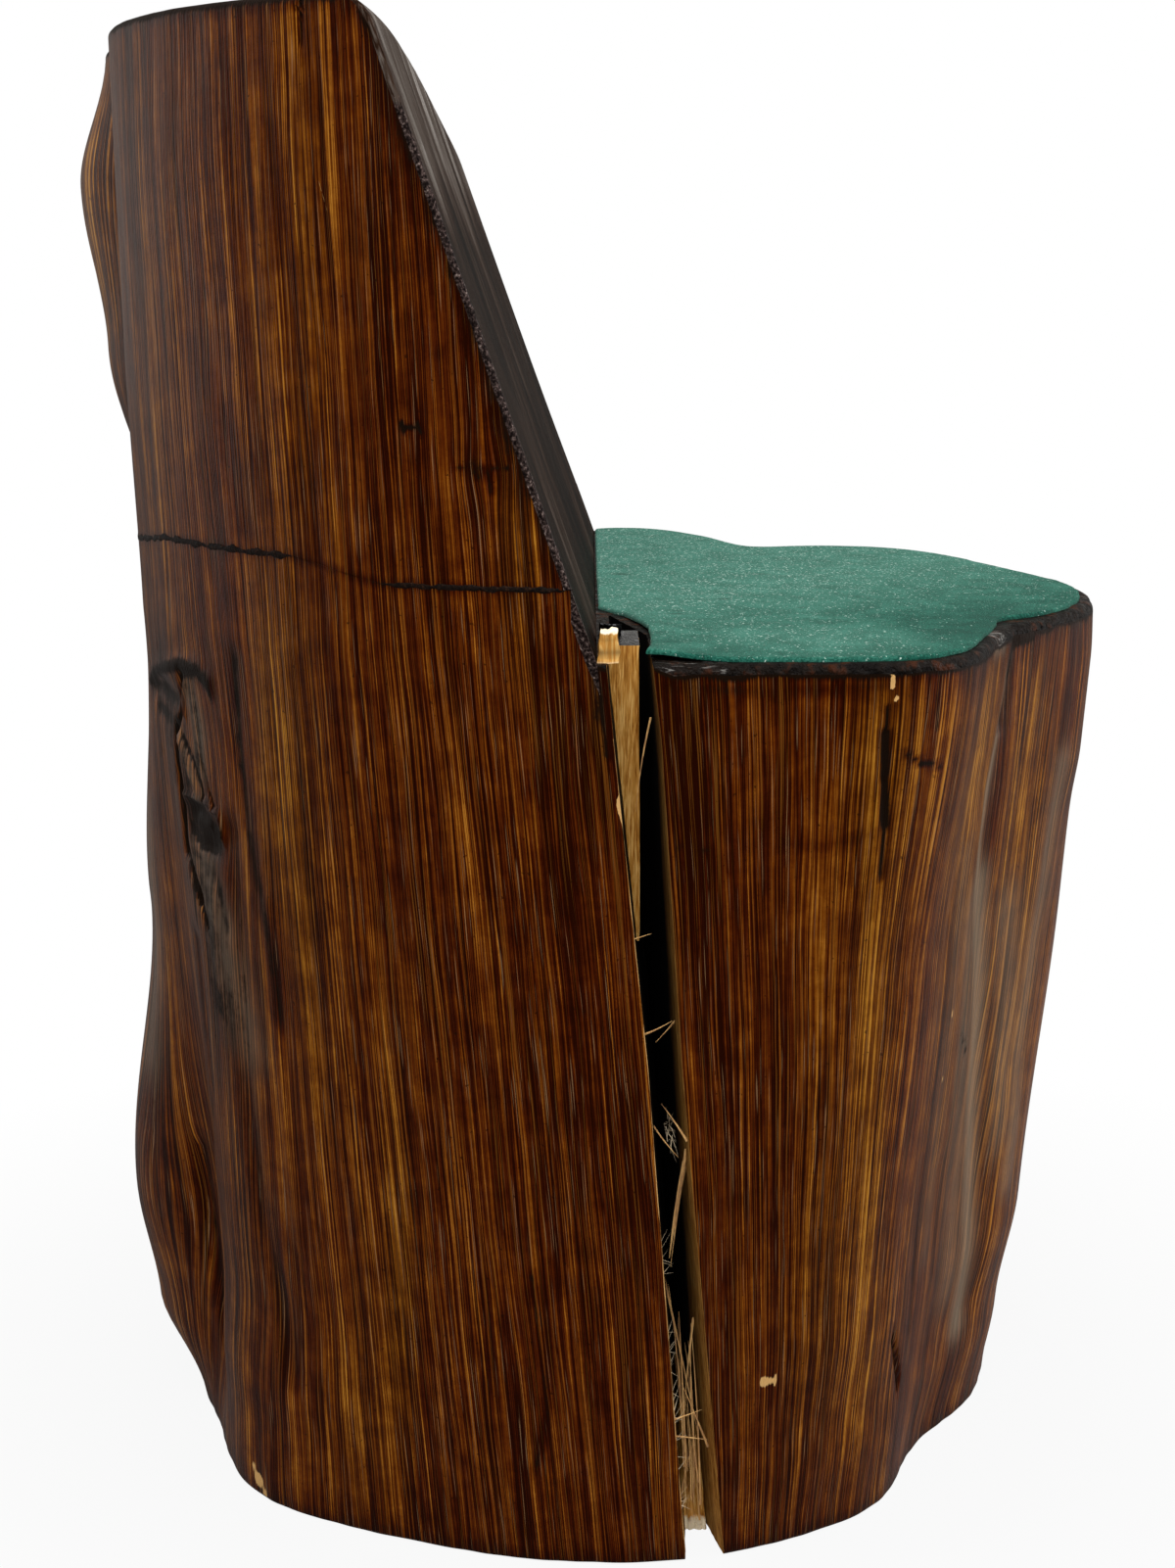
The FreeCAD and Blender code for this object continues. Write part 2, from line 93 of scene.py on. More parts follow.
# Marks on the bark, each a stroke on the unrolled log through (angle, height) points:
# half width in mm, relief in mm, darkening
MARKS = (
    # old branch scar: its dark arched brow, the rough hollow under it, and the lip beside it
    (((-74.9, 385), (-71.5, 391), (-66.3, 396), (-59.5, 401.5), (-55, 402),
      (-52.5, 397)), 4.2, 1.5, 1.0),
    (((-59.5, 399), (-55, 400), (-52.9, 396)), 2.4, -0.8, 1.3),
    (((-52.9, 398), (-52.1, 391)), 2.2, 0.6, 0.9),
    (((-73.5, 385), (-67.5, 385), (-62.5, 384)), 7.0, -2.4, 0.86),
    (((-71.5, 375), (-65.5, 372)), 5.5, -1.2, 0.8),
    (((-59.7, 396), (-60.9, 386), (-60.7, 379), (-62.1, 371)), 2.0, -2.4, 1.5),
    (((-58.5, 394), (-59.5, 385), (-59.1, 377)), 1.3, 1.3, 0.0),
    # splinter that lifted like a leaf beside the crack; the crack is widest half way down and drawn
    # black inside as painted shade
    (((-61.9, 366), (-59.4, 354), (-57.7, 342)), 2.6, 1.4, 0.5),
    (((-60.9, 369), (-57.9, 358), (-56.1, 347), (-55.9, 339)), 1.5, -1.0, 1.1),
    (((-62.9, 369), (-63.7, 356), (-63.5, 344)), 3.0, -3.4, 2.2),
    (((-63.5, 346), (-63.1, 332), (-63.3, 312)), 4.2, -4.6, 2.4),
    # round knot, and the black tail that runs down from it
    (((-57.9, 332), (-53.9, 324)), 11.5, -2.6, 1.1),
    (((-60.1, 324), (-57.5, 318), (-53.9, 318)), 3.0, -1.2, 1.2),
    (((-57.5, 392), (-55.5, 372), (-56.5, 354)), 8.0, 0.0, 0.7),
    (((-58, 329), (-55, 329)), 2.0, 1.4, 0.9),
    (((-61.5, 338), (-56.3, 340), (-51.9, 335), (-51.5, 324)), 1.8, 2.0, 0.75),
    (((-62.9, 314), (-61.1, 302), (-58.9, 291)), 3.4, -3.4, 2.1),
    (((-67, 395), (-62, 340), (-57, 290), (-54, 240)), 26.0, 0.0, 0.6),
    (((-59.5, 312), (-54.5, 306)), 6.0, -0.5, 0.75),
    (((-71.5, 362), (-73.9, 314)), 13.0, 0.0, 0.42),
    (((-78.5, 205), (-79.5, 100)), 12.0, 0.0, 0.42), (((-59.1, 293), (-57.1, 279)), 2.0, -1.8, 1.5),
    (((-55.5, 318), (-53, 300), (-52, 282)), 5.0, -0.8, 0.6),
    (((-55.5, 358), (-54.1, 346), (-53.1, 338)), 0.9, -1.2, 1.0),
    (((-46.8, 412), (-47, 373), (-46.1, 333), (-44.4, 303), (-43, 280),
      (-42.4, 244)), 4.4, -0.6, 0.72),
    # folds on the rear quarter
    (((-45.3, 520), (-44.6, 499), (-43.4, 470)), 7.0, -0.3, 0.42),
    (((-49.5, 330), (-49, 280), (-50, 211), (-47.5, 142), (-43, 73)), 6.5, -1.6, 0.5),
    (((-43.5, 300), (-43, 220), (-41, 140)), 4.5, 0.8, 0.0),
    (((-62, 267), (-60.5, 200), (-66, 136)), 6.0, -1.8, 0.4),
    (((-72, 150), (-71, 90), (-69, 50)), 5.0, -2.5, 0.6),
    (((-84, 260), (-82, 150)), 8.0, -0.6, 0.4),
    (((-101, 480), (-96, 560), (-97, 640)), 6.0, 0.0, 0.3),
    # deep fold on the front right, with the swollen edge beyond it
    (((59.3, 440), (57.8, 404), (55.2, 376), (53, 346), (53.6, 298), (57, 245), (60.5, 196),
      (65.5, 140), (68.5, 70)), 12.0, -2.2, 0.0),
    (((57.6, 440), (56.4, 404), (54.6, 376)), 5.0, -1.6, 0.4),
    (((56.6, 440), (56.4, 413)), 6.0, -1.0, 1.3), (((55.4, 412), (54.9, 400)), 5.2, -0.8, 1.7),
    (((55, 412), (60.5, 414)), 3.8, 0.0, 1.15),
    (((55, 402), (54.7, 386), (54, 374)), 2.8, -1.0, 1.3),
    (((47.5, 330), (47.5, 250), (50, 180)), 12.0, 1.6, 0.0),
    (((78, 392), (78, 350)), 26.0, 3.6, 0.0), (((74, 250), (73, 200)), 26.0, -2.4, 0.0),
    # wide dark stain bands
    (((-36.5, 640), (-33.5, 520), (-31, 400), (-27, 300)), 3.2, -0.2, 0.26),
    (((-8, 430), (-4.5, 300), (-1.5, 180)), 8.0, 0.0, 0.2),
    (((-13, 120), (-12, 60), (-11, 14)), 7.0, 0.0, 0.24), (((-26, 24), (-24, 14)), 6.0, 0.0, 0.4),
    (((6, 400), (8, 330)), 7.0, 0.0, 0.2), (((5, 411), (16, 408), (26, 411)), 4.0, 0.0, 0.45),
    (((17.4, 343), (21, 341), (24.4, 343)), 3.6, 0.0, 0.34),
    (((6.6, 342), (9.6, 340)), 2.0, 0.0, 0.5),
    (((28.4, 381), (30.2, 376), (33, 373)), 1.5, -0.3, 0.85),
    (((-9.7, 142), (-8.2, 110), (-8, 77), (-9.6, 48)), 2.4, -0.2, 0.6),
    (((-14.9, 150), (-14.6, 94)), 2.0, 0.0, 0.4),
    (((43.5, 400), (42, 300), (42, 180), (44, 90)), 5.0, -0.6, 0.1),
    # split in the front right, and a gouge low down, both drawn black inside as painted shade
    (((26.2, 401), (26.3, 391)), 1.3, -0.7, 0.95), (((26.3, 390), (26.7, 371)), 2.4, -1.2, 1.2),
    (((26.8, 369), (27.4, 348)), 2.2, -1.2, 1.2), (((27.4, 345), (27.7, 325)), 1.5, -0.8, 1.0),
    (((38.6, 92), (40.6, 76), (42.4, 60)), 1.5, -2.6, 1.0),
    (((31, 408), (31.6, 398), (31.8, 390)), 0.9, 0.0, 0.6),
    # small knots and ticks
    (((-14.4, 502), (-12.8, 499)), 2.2, 0.5, 0.75),
    (((-15.8, 500), (-14.4, 499.5), (-13.8, 496.5)), 1.1, -0.3, 0.9),
    (((-13.0, 499), (-11.6, 501.5), (-10.8, 500.5)), 1.1, -0.3, 0.85),
    (((-12.8, 497), (-12.5, 491)), 1.2, -0.3, 0.75),
    (((-21.9, 518.5), (-21.7, 514)), 1.0, -0.3, 0.95),
    (((-20.1, 518.5), (-19.8, 514)), 1.0, -0.3, 0.95),
    (((-21.9, 516.5), (-19.9, 516)), 1.0, -0.3, 0.9), (((-33.9, 528), (-33.5, 528)), 1.5, 0.0, 0.4),
    (((51.2, 229), (52.6, 222)), 2.4, 0.4, 0.8), (((53.0, 226), (54.6, 216)), 1.8, 0.3, 0.9),
    (((-32.4, 668), (-32.3, 688)), 0.9, -1.6, 1.0), (((-25.4, 680), (-24.6, 674)), 1.6, 0.5, 0.7),
)

# Chips down to bare wood: strokes with a half width in mm, relief in mm, bareness
CHIPS = (
    (((26.2, 417), (26.6, 410)), 0.85, -0.5, 1.0), (((26.5, 411), (27.0, 404)), 0.5, -0.3, 1.0),
    (((27.1, 405), (27.3, 392), (27.4, 372)), 0.4, 0.0, 0.62),
    (((17.8, 90.5), (18, 87)), 0.85, -0.3, 1.0), (((18.8, 91), (18.9, 87.5)), 0.9, -0.3, 1.0),
    (((19.8, 91), (19.6, 87.5)), 0.75, -0.3, 1.0), (((17.9, 87.9), (19.6, 87.7)), 0.8, -0.3, 1.0),
    (((-51, 12), (-48.6, 4)), 2.8, -0.5, 1.0), (((0.1, 362), (0.6, 354)), 0.8, -0.3, 1.0),
    (((-31.4, 632), (-30.6, 616), (-29.4, 598)), 0.55, 0.0, 0.42),
    (((-35.6, 312), (-34.4, 285), (-33.6, 262)), 0.5, 0.0, 0.42),
    (((-33.4, 352), (-32.8, 326), (-32.6, 300)), 0.45, 0.0, 0.36),
    (((46.2, 246), (46, 242)), 1.0, 0.0, 0.6), (((45.8, 214), (45.6, 208)), 0.9, 0.0, 0.6),
)

# Painted sheen, grey where the varnish catches the light along the folds, the scar and the
# left edge: strokes with a half width in mm and an amount
PAINTED_SHEEN_STROKES = (
    (((54.2, 400), (53.7, 380), (52.4, 350), (51.8, 322), (53.6, 296)), 4.4, 0.95),
    (((46.5, 415), (50.5, 414)), 4.0, 0.5),
    (((50, 290), (53, 240), (57, 170), (60, 90)), 17.0, 0.42),
    (((63, 280), (66, 230), (70, 160)), 16.0, 0.42),
    (((53.6, 300), (56, 262), (59.8, 196), (64.5, 112), (66, 60)), 10.5, 0.95),
    (((73, 345), (73, 300), (72.5, 214), (74.5, 130)), 10.0, 0.5),
    (((45, 320), (46, 220), (48, 120)), 8.0, 0.22),
    (((-58, 310), (-53, 280), (-49, 230)), 14.0, 0.42),
    (((-60.6, 366), (-58.4, 350), (-57.6, 338)), 4.0, 0.5),
    (((-57.5, 390), (-55.5, 372), (-56.5, 352)), 8.0, 0.45),
    (((-82, 310), (-81, 250), (-82, 190)), 15.0, 0.45),
)

# Golden and dark regions of the stain: angle, height, their spreads in degrees and mm, amount
STAIN = (
    (-39.4, 350, 4.2, 100, 0.9), (-35, 200, 4, 120, 0.3), (-33, 70, 5, 70, 0.3),
    (-32, 600, 3, 130, 0.2), (-60, 250, 16, 260, 0.3), (-55, 560, 16, 170, 0.2),
    (-101, 600, 9, 90, 0.8), (-18, 470, 8, 40, 0.3), (-4, 470, 5, 30, 0.3), (-3, 395, 4, 45, -0.8),
    (-10, 330, 9, 130, -0.35), (-1, 150, 6, 120, -0.3), (-12, 60, 10, 60, -0.3),
    (-16, 560, 6, 120, -0.3), (-26, 520, 5, 60, -0.3), (6, 380, 6, 60, -0.7), (9, 300, 6, 60, -0.3),
    (13, 200, 5, 60, -0.3), (16.5, 90, 4, 90, -0.45), (24, 120, 6, 90, 0.4), (26, 385, 3, 50, 0.7),
    (28, 300, 3, 70, 0.6), (30, 190, 3, 90, 0.6), (44, 250, 5, 130, 0.35), (38, 370, 5, 60, 0.3),
    (22, 250, 3, 120, 0.1), (62, 350, 6, 70, 0.7), (70, 230, 10, 120, 0.6), (45, 370, 5, 60, 0.9),
    (42, 330, 4, 70, 0.1), (56.5, 330, 2.2, 80, -0.5), (-12, 640, 6, 50, -0.4),
    (-48, 480, 8, 60, -0.2), (-28.7, 514, 3, 60, 0.1), (-9.8, 455, 2.5, 70, 0.7),
    (-10.2, 330, 2.5, 70, 0.4), (-4.2, 360, 3, 60, -0.6), (-4.2, 215, 2.5, 50, -0.6),
    (-26, 130, 2.5, 90, 0.7), (-34.5, 140, 2.5, 60, -0.4), (-41, 270, 2, 40, -0.4),
    (15, 240, 2.5, 60, -0.6), (14.3, 352, 2.5, 40, -0.5), (34, 90, 4, 70, 0.5),
    (2.4, 211, 2, 50, -0.5), (2.2, 318, 2, 40, 0.4), (-48.7, 406, 4, 40, -0.6),
    (50, 300, 4, 80, 0.4), (57, 240, 5, 90, 0.5),
)

# Where the grain parts round a knot: angle, height, spreads in degrees and mm, how far
KNOTS = ((-58, 345, 9, 62, 0.6), (-13, 499, 2.4, 14, 0.35), (52.4, 223, 2.6, 14, 0.35),
         (-78, 117, 12, 60, 0.5))

# Stains on the felt: place, spreads across and along the view in mm, darkness
FELT_SPOTS = (
    (60, -6, 3, 5, 0.8), (-40, -55, 2.2, 3.5, 0.85), (62, -80, 3, 6, 0.5),
    (40, -105, 1.5, 2.5, 0.7), (-72, -90, 1.2, 2.0, 0.8), (-70, -107, 1.2, 2.0, 0.7),
    (-95, -30, 1.6, 5.5, 0.9), (-84, -32, 1.4, 3.0, 0.7), (-130, -60, 0.9, 1.2, 0.6),
    (100, -40, 2.0, 3.0, 0.5),
)

# Larger splinters: root and point as shares of the seat height, of the way in from the bark to
# the knee, and of the way across from the left wall to the right, then the splinter's radius in mm
SPLINTERS = (
    ((0.942, 0.15, 0.85), (0.842, 0.2, 0.34), 0.5), ((0.715, 0.04, 0.0), (0.722, 0.02, 0.45), 0.35),
    ((0.611, 0.06, 0.0), (0.628, 0.02, 0.8), 0.55), ((0.612, 0.3, 1.0), (0.6, 0.1, 0.3), 0.55),
    ((0.5, 0.25, 0.0), (0.472, 0.1, 0.7), 0.45), ((0.49, 0.1, 1.0), (0.52, 0.3, 0.35), 0.6),
    ((0.475, 0.2, 1.0), (0.33, 0.35, 0.25), 0.8), ((0.455, 0.3, 1.0), (0.345, 0.28, 0.22), 1.4),
    ((0.31, 0.45, 0.0), (0.12, 0.4, 0.8), 0.6), ((0.26, 0.5, 1.0), (0.14, 0.45, 0.3), 0.6),
    ((0.172, 0.05, 0.0), (0.186, 0.02, 0.75), 0.5), ((0.148, 0.1, 0.0), (0.15, 0.02, 0.85), 0.5),
    ((0.12, 0.3, 1.0), (0.2, 0.25, 0.3), 0.6), ((0.05, 0.4, 0.0), (0.13, 0.35, 0.65), 0.7),
)


# Formulas
def rough(a, b, seed):
    """Smooth unevenness between about -1 and 1: a sum of seven sine waves of two directions
    with seeded phases and falling heights."""
    rng = np.random.default_rng(seed)
    total = np.zeros(np.broadcast(a, b).shape)
    for step in range(7):
        turn, phase, bend = rng.uniform(-1.2, 1.2), rng.uniform(0, 6.28), rng.uniform(0, 6.28)
        total += np.sin(a * (1 + 0.62 * step) + b * turn * (1 + 0.4 * step) + phase) \
            * np.cos(b * (1 + 0.35 * step) + bend) / (1 + 0.5 * step)
    return total / 2.2


def hump(x, spread, power=2):
    """exp(-(x / spread) ^ power): 1 at 0 and falling to 0 on both sides."""
    return np.exp(-((x / spread) ** power))


def bell(x, y, middle_x, middle_y, spread_x, spread_y):
    """A hump of two directions round a middle."""
    return np.exp(-(((x - middle_x) / spread_x) ** 2) - ((y - middle_y) / spread_y) ** 2)


def away_from(angle, centre):
    """Degrees from a centre, the short way round."""
    return (angle - centre + 180) % 360 - 180


def runs(stops, counts):
    """Even steps from stop to stop, with a count of values for each run."""
    parts = [np.linspace(*ends)[:-1] for ends in zip(stops, stops[1:], counts)]
    return np.append(np.concatenate(parts), stops[-1])


def mean_radius(z):
    """Straight tapers from foot to seat and from seat to crest."""
    return np.interp(z, [0, seat_z, crest_z], [foot_radius, seat_radius, crest_radius])


def lobed_radius(angle, z):
    """The mean radius, swollen by each lobe as a hump round its angle; between two levels the
    swelling eases from one share to the next."""
    held = np.clip(z, 0, crest_z)
    low = np.clip(np.searchsorted(LEVELS, held, side="right") - 1, 0, len(LEVELS) - 2)
    share = (held - LEVELS[low]) / (LEVELS[low + 1] - LEVELS[low])
    eased = share * share * (3 - 2 * share)
    swelling = 0.0
    for centre, spread, shares in LOBES:
        shares = np.array(shares)
        height = shares[low] + (shares[low + 1] - shares[low]) * eased
        swelling = swelling + height * hump(away_from(angle, centre), spread)
    return mean_radius(z) * (1 + swelling)


def stroke(angle, z, path, half_width):
    """1 on a stroke's line and falling to 0 beside it as a hump of the distance, measured in mm
    on the unrolled log to the nearest of the stroke's straight runs."""
    first_angle, first_z = path[0]
    s, t = np.radians(away_from(angle, first_angle)) * seat_radius, z - first_z
    points = [(math.radians(a - first_angle) * seat_radius, h - first_z) for a, h in path]
    nearest = np.full(np.shape(s + t), 1e9)
    for (s0, t0), (s1, t1) in zip(points, points[1:]):
        ds, dt = s1 - s0, t1 - t0
        along = np.clip(((s - s0) * ds + (t - t0) * dt) / (ds * ds + dt * dt), 0, 1)
        nearest = np.minimum(nearest, (s - s0 - along * ds) ** 2 + (t - t0 - along * dt) ** 2)
    return np.exp(-nearest / half_width ** 2)


def marks(angle, z):
    """Relief in mm, darkening and bareness that the strokes add at each place."""
    relief, dark, bare = (np.zeros(np.shape(angle)) for _ in range(3))
    for table, shown in ((MARKS, dark), (CHIPS, bare)):
        for path, half_width, height, amount in table:
            near = stroke(angle, z, path, half_width)
            relief += height * near
            np.maximum(shown, amount * near, out=shown)
    return relief, dark, bare


def painted_sheen_amount(angle, z):
    """Amount of painted sheen that the strokes give at each place."""
    return np.maximum.reduce([
        amount * stroke(angle, z, path, half_width) for path, half_width, amount in PAINTED_SHEEN_STROKES])


def tone(angle, z):
    """Golden above 0 and dark below 0: soft patches, each a bell of angle and height, over slow
    bands that run down the log."""
    total = 0.16 * rough(np.radians(angle) * 9, z / 190, 5)
    for centre, height, spread, reach, amount in STAIN:
        total = total + amount * bell(away_from(angle, centre), z, 0, height, spread, reach)
    return total


def bark_radius(angle, z):
    """The lobed radius with the strokes' relief and a slow ripple of a few tenths of a mm."""
    ripple = 0.45 * rough(np.radians(angle) * 20, z / 120, 11)
    return lobed_radius(angle, z) + marks(angle, z)[0] + ripple


def ring_point(angle, z, radius):
    """A point by its angle round the log, height and distance from the pith."""
    turn = np.radians(angle)
    return np.stack([-radius * np.cos(turn), -radius * np.sin(turn), z + 0 * angle], -1)


def face_y(z):
    """Y of the sawn front face, a plane that leans back."""
    return np.interp(z, [seat_z, crest_z], [face_foot_y, face_crest_y])


def arris_angle(z, low, high, bark_inset=0.0, face_inset=0.0):
    """Where the sawn face meets the bark at each height: the angle between low and high at
    which the bark's Y equals the face's, read off a fine row of angles and put right between
    two of them by a straight line. Either surface may be drawn in."""
    tried, height = np.linspace(low, high, 401)[None, :], np.reshape(z, (-1, 1))
    reach = lobed_radius(tried, height) - np.reshape(bark_inset, (-1, 1))
    miss = -reach * np.sin(np.radians(tried)) - face_y(height) - np.reshape(face_inset, (-1, 1))
    place = np.argmax(np.sign(miss[:, :-1]) != np.sign(miss[:, 1:]), axis=1)
    row = np.arange(len(place))
    first, second = miss[row, place], miss[row, place + 1]
    return tried[0, place] + (tried[0, 1] - tried[0, 0]) * first / (first - second)


def joint_height(y):
    """The glued joint from front to rear: level, up a step at the rear, and down again."""
    shares = np.array([0.415, 0.58, 0.87, 1.01]) * seat_radius
    return joint_z + joint_step * np.interp(y, shares, [0, 1, 1, 0])


def crack_at(z):
    """Y of the crack's left lip, its width at the bark and its width at the knee."""
    return [np.interp(z, CRACK_Z, sizes) for sizes in CRACK_SIZES]


def lip_angle(y, z):
    """The angle at which the bark has a given Y near the crack, by three rounds of correction."""
    angle = np.degrees(np.arcsin(-y / mean_radius(z)))
    for _ in range(3):
        angle = np.degrees(np.arcsin(-y / lobed_radius(angle, z)))
    return angle


def grain_place(angle, z):
    """Where a place on the bark was on a straight round log: its angle is drawn towards each
    knot's middle by a bell, so that the lines part round the knot, wavers slowly, and is turned
    back by the lean that the grain has beside the crack."""
    for centre, height, spread, reach, amount in KNOTS:
        angle = angle - (angle - centre) * amount * bell(angle, z, centre, height, spread, reach)
    angle = angle + 0.3 * rough(np.radians(angle) * 7, z / 85, 15) \
        + 0.12 * rough(np.radians(angle) * 40, z / 30, 16)
    share = hump(angle - 3, np.where(angle < 4, 40.0, 22.0))
    lean = np.interp(z, [0, seat_z, crest_z], [8.8, 0.0, -4.6])
    turned = np.radians(angle - lean * share)
    return np.stack([seat_radius * np.cos(turned), seat_radius * np.sin(turned), z + 0 * angle], -1)


# Meshes
def quads(rows, columns, start=0):
    """Faces of a band of rows whose columns go once round. The normals point out where the
    columns follow the angle round the log and the rows go up."""
    row, column = np.meshgrid(np.arange(rows - 1), np.arange(columns), indexing="ij")
    low, high, after = row * columns, (row + 1) * columns, (column + 1) % columns
    corners = [low + column, low + after, high + after, high + column]
    return (np.stack(corners, -1).reshape(-1, 4) + start).tolist()


def tube(rows, columns, start=0):
    """The faces of a band of rows, and one face over each of its open ends."""
    ring = start + np.arange(columns)
    return quads(rows, columns, start) + [
        ring[::-1].tolist(), (ring + (rows - 1) * columns).tolist()]


def fan(rim, ring, middle, shares, height, start, flip=False):
    """Points and faces that close an opening: rings drawn from the rim towards a middle point
    by each share and set to a height of their own, then one face inside the smallest."""
    points, faces = [], []
    for share in shares:
        new = middle + (rim - middle) * share
        new[:, 2] = height(new)
        numbers = start + len(points) * len(rim) + np.arange(len(rim))
        made = np.stack([ring, np.roll(ring, -1), np.roll(numbers, -1), numbers], -1)
        faces += (made[:, ::-1] if flip else made).tolist()
        points.append(new)
        ring = numbers
    faces.append((ring[::-1] if flip else ring).tolist())
    return np.concatenate(points), faces


def padded(data, columns, extra, fill=0.0):
    """A grid of values with one more value for the columns and the points past the grid."""
    wide = np.full((len(data), columns - data.shape[1]), fill)
    return np.append(np.concatenate([data, wide], 1), np.full(extra, fill))


def put(name, data):
    """A new object in the scene, with a mesh, a lamp or a lens."""
    item = bpy.data.objects.new(name, data)
    bpy.context.scene.collection.objects.link(item)
    return item


def make_piece(name, points, faces, materials, slots=None, values=None, sharp=38):
    """A mesh object at the origin from points in mm, with its own values on the points, smooth
    but for edges sharper than the given angle."""
    mesh = bpy.data.meshes.new(name)
    mesh.from_pydata((np.asarray(points) * MM).tolist(), [], faces)
    for material in materials:
        mesh.materials.append(material)
    if slots is not None:
        mesh.polygons.foreach_set("material_index", np.asarray(slots, dtype=np.int32))
    for key, data in (values or {}).items():
        data = np.asarray(data, dtype=np.float32)
        kind, field = ("FLOAT_VECTOR", "vector") if data.ndim == 2 else ("FLOAT", "value")
        mesh.attributes.new(key, kind, "POINT").data.foreach_set(field, data.ravel())
    mesh.polygons.foreach_set("use_smooth", np.ones(len(mesh.polygons), dtype=bool))
    mesh.set_sharp_from_angle(angle=math.radians(sharp))
    mesh.validate()
    mesh.update()
    piece = put(name, mesh)
    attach(piece, ROOT)
    return piece


def recalculate(piece):
    """Turns a closed piece's faces outwards."""
    shape = bmesh.new()
    shape.from_mesh(piece.data)
    bmesh.ops.recalc_face_normals(shape, faces=shape.faces)
    shape.to_mesh(piece.data)
    shape.free()


# Nodes
def colour(code):
    """An sRGB hex colour as linear red, green, blue and 1."""
    parts = [int(code[i:i + 2], 16) / 255 for i in (1, 3, 5)]
    return [p / 12.92 if p <= 0.04045 else ((p + 0.055) / 1.055) ** 2.4 for p in parts] + [1.0]


def fill_inputs(tree, node, inputs):
    """Gives a node its inputs: other nodes' outputs are linked, hex colours and values are set."""
    for key, value in inputs.items():
        if isinstance(value, bpy.types.NodeSocket):
            tree.links.new(value, node.inputs[key])
        else:
            node.inputs[key].default_value = colour(value) if isinstance(value, str) else value


def add(tree, kind, inputs, **settings):
    """Adds one node with its settings and inputs."""
    node = tree.nodes.new(kind)
    for key, value in settings.items():
        setattr(node, key, value)
    fill_inputs(tree, node, inputs)
    return node


def noise(tree, place, scale, detail, roughness=0.6):
    """Noise whose lumps are about 1 / scale metres wide."""
    return add(tree, "ShaderNodeTexNoise", {
        "Vector": place, "Scale": scale, "Detail": detail, "Roughness": roughness}).outputs[0]


def streaks(tree, place, width_mm, length_mm, detail, seed):
    """Noise drawn out along the grain, by the real width and length of its streaks."""
    across, along = 1 / (width_mm * MM), 1 / (length_mm * MM)
    moved = add(tree, "ShaderNodeMapping", {
        "Vector": place, "Location": (seed, seed * 1.7, seed * 0.6),
        "Scale": (across, across, along)})
    return noise(tree, moved.outputs[0], 1.0, detail)


def weighted(tree, total, *parts):
    """The total with each part added as often as its weight says."""
    for part, weight in parts:
        total = add(tree, "ShaderNodeMath", {0: part, 1: weight, 2: total},
                    operation="MULTIPLY_ADD").outputs[0]
    return total


def product(tree, value, *others):
    """The value times each of the others."""
    for other in others:
        value = add(tree, "ShaderNodeMath", {0: value, 1: other}, operation="MULTIPLY").outputs[0]
    return value


def remap(tree, value, low, high, first=0.0, last=1.0):
    """From first where the value is low to last where it is high, and level beyond."""
    inputs = {0: value, 1: low, 2: high, 3: first, 4: last}
    return add(tree, "ShaderNodeMapRange", inputs).outputs[0]


def cover(tree, under, share, over):
    """One colour laid over another by a share."""
    return add(tree, "ShaderNodeMix", {0: share, 6: under, 7: over}, data_type="RGBA").outputs[2]


def ramp(tree, value, *stops):
    """Colours by a value, each stop a place and a hex colour."""
    node = add(tree, "ShaderNodeValToRGB", {0: value})
    elements = node.color_ramp.elements
    while len(elements) < len(stops):
        elements.new(0.5)
    for element, (place, code) in zip(elements, stops):
        element.position, element.color = place, colour(code)
    return node.outputs[0]


def on_point(tree, name, output="Fac"):
    """A value that the mesh carries on its points."""
    return add(tree, "ShaderNodeAttribute", {}, attribute_name=name).outputs[output]


def new_material(name):
    """An empty material, its node tree, and its place on the object in metres."""
    material = bpy.data.materials.new(name)
    material.use_nodes = True
    tree = material.node_tree
    return material, tree, add(tree, "ShaderNodeTexCoord", {}).outputs["Object"]


def finish(tree, base, height, strength, distance, **inputs):
    """Joins a colour and a relief to the shader and fills its other inputs."""
    bump = add(tree, "ShaderNodeBump", {
        "Height": height, "Strength": strength, "Distance": distance})
    inputs = {key.replace("_", " "): value for key, value in inputs.items()}
    fill_inputs(tree, tree.nodes["Principled BSDF"], {
        "Base Color": base, "Normal": bump.outputs[0], **inputs})


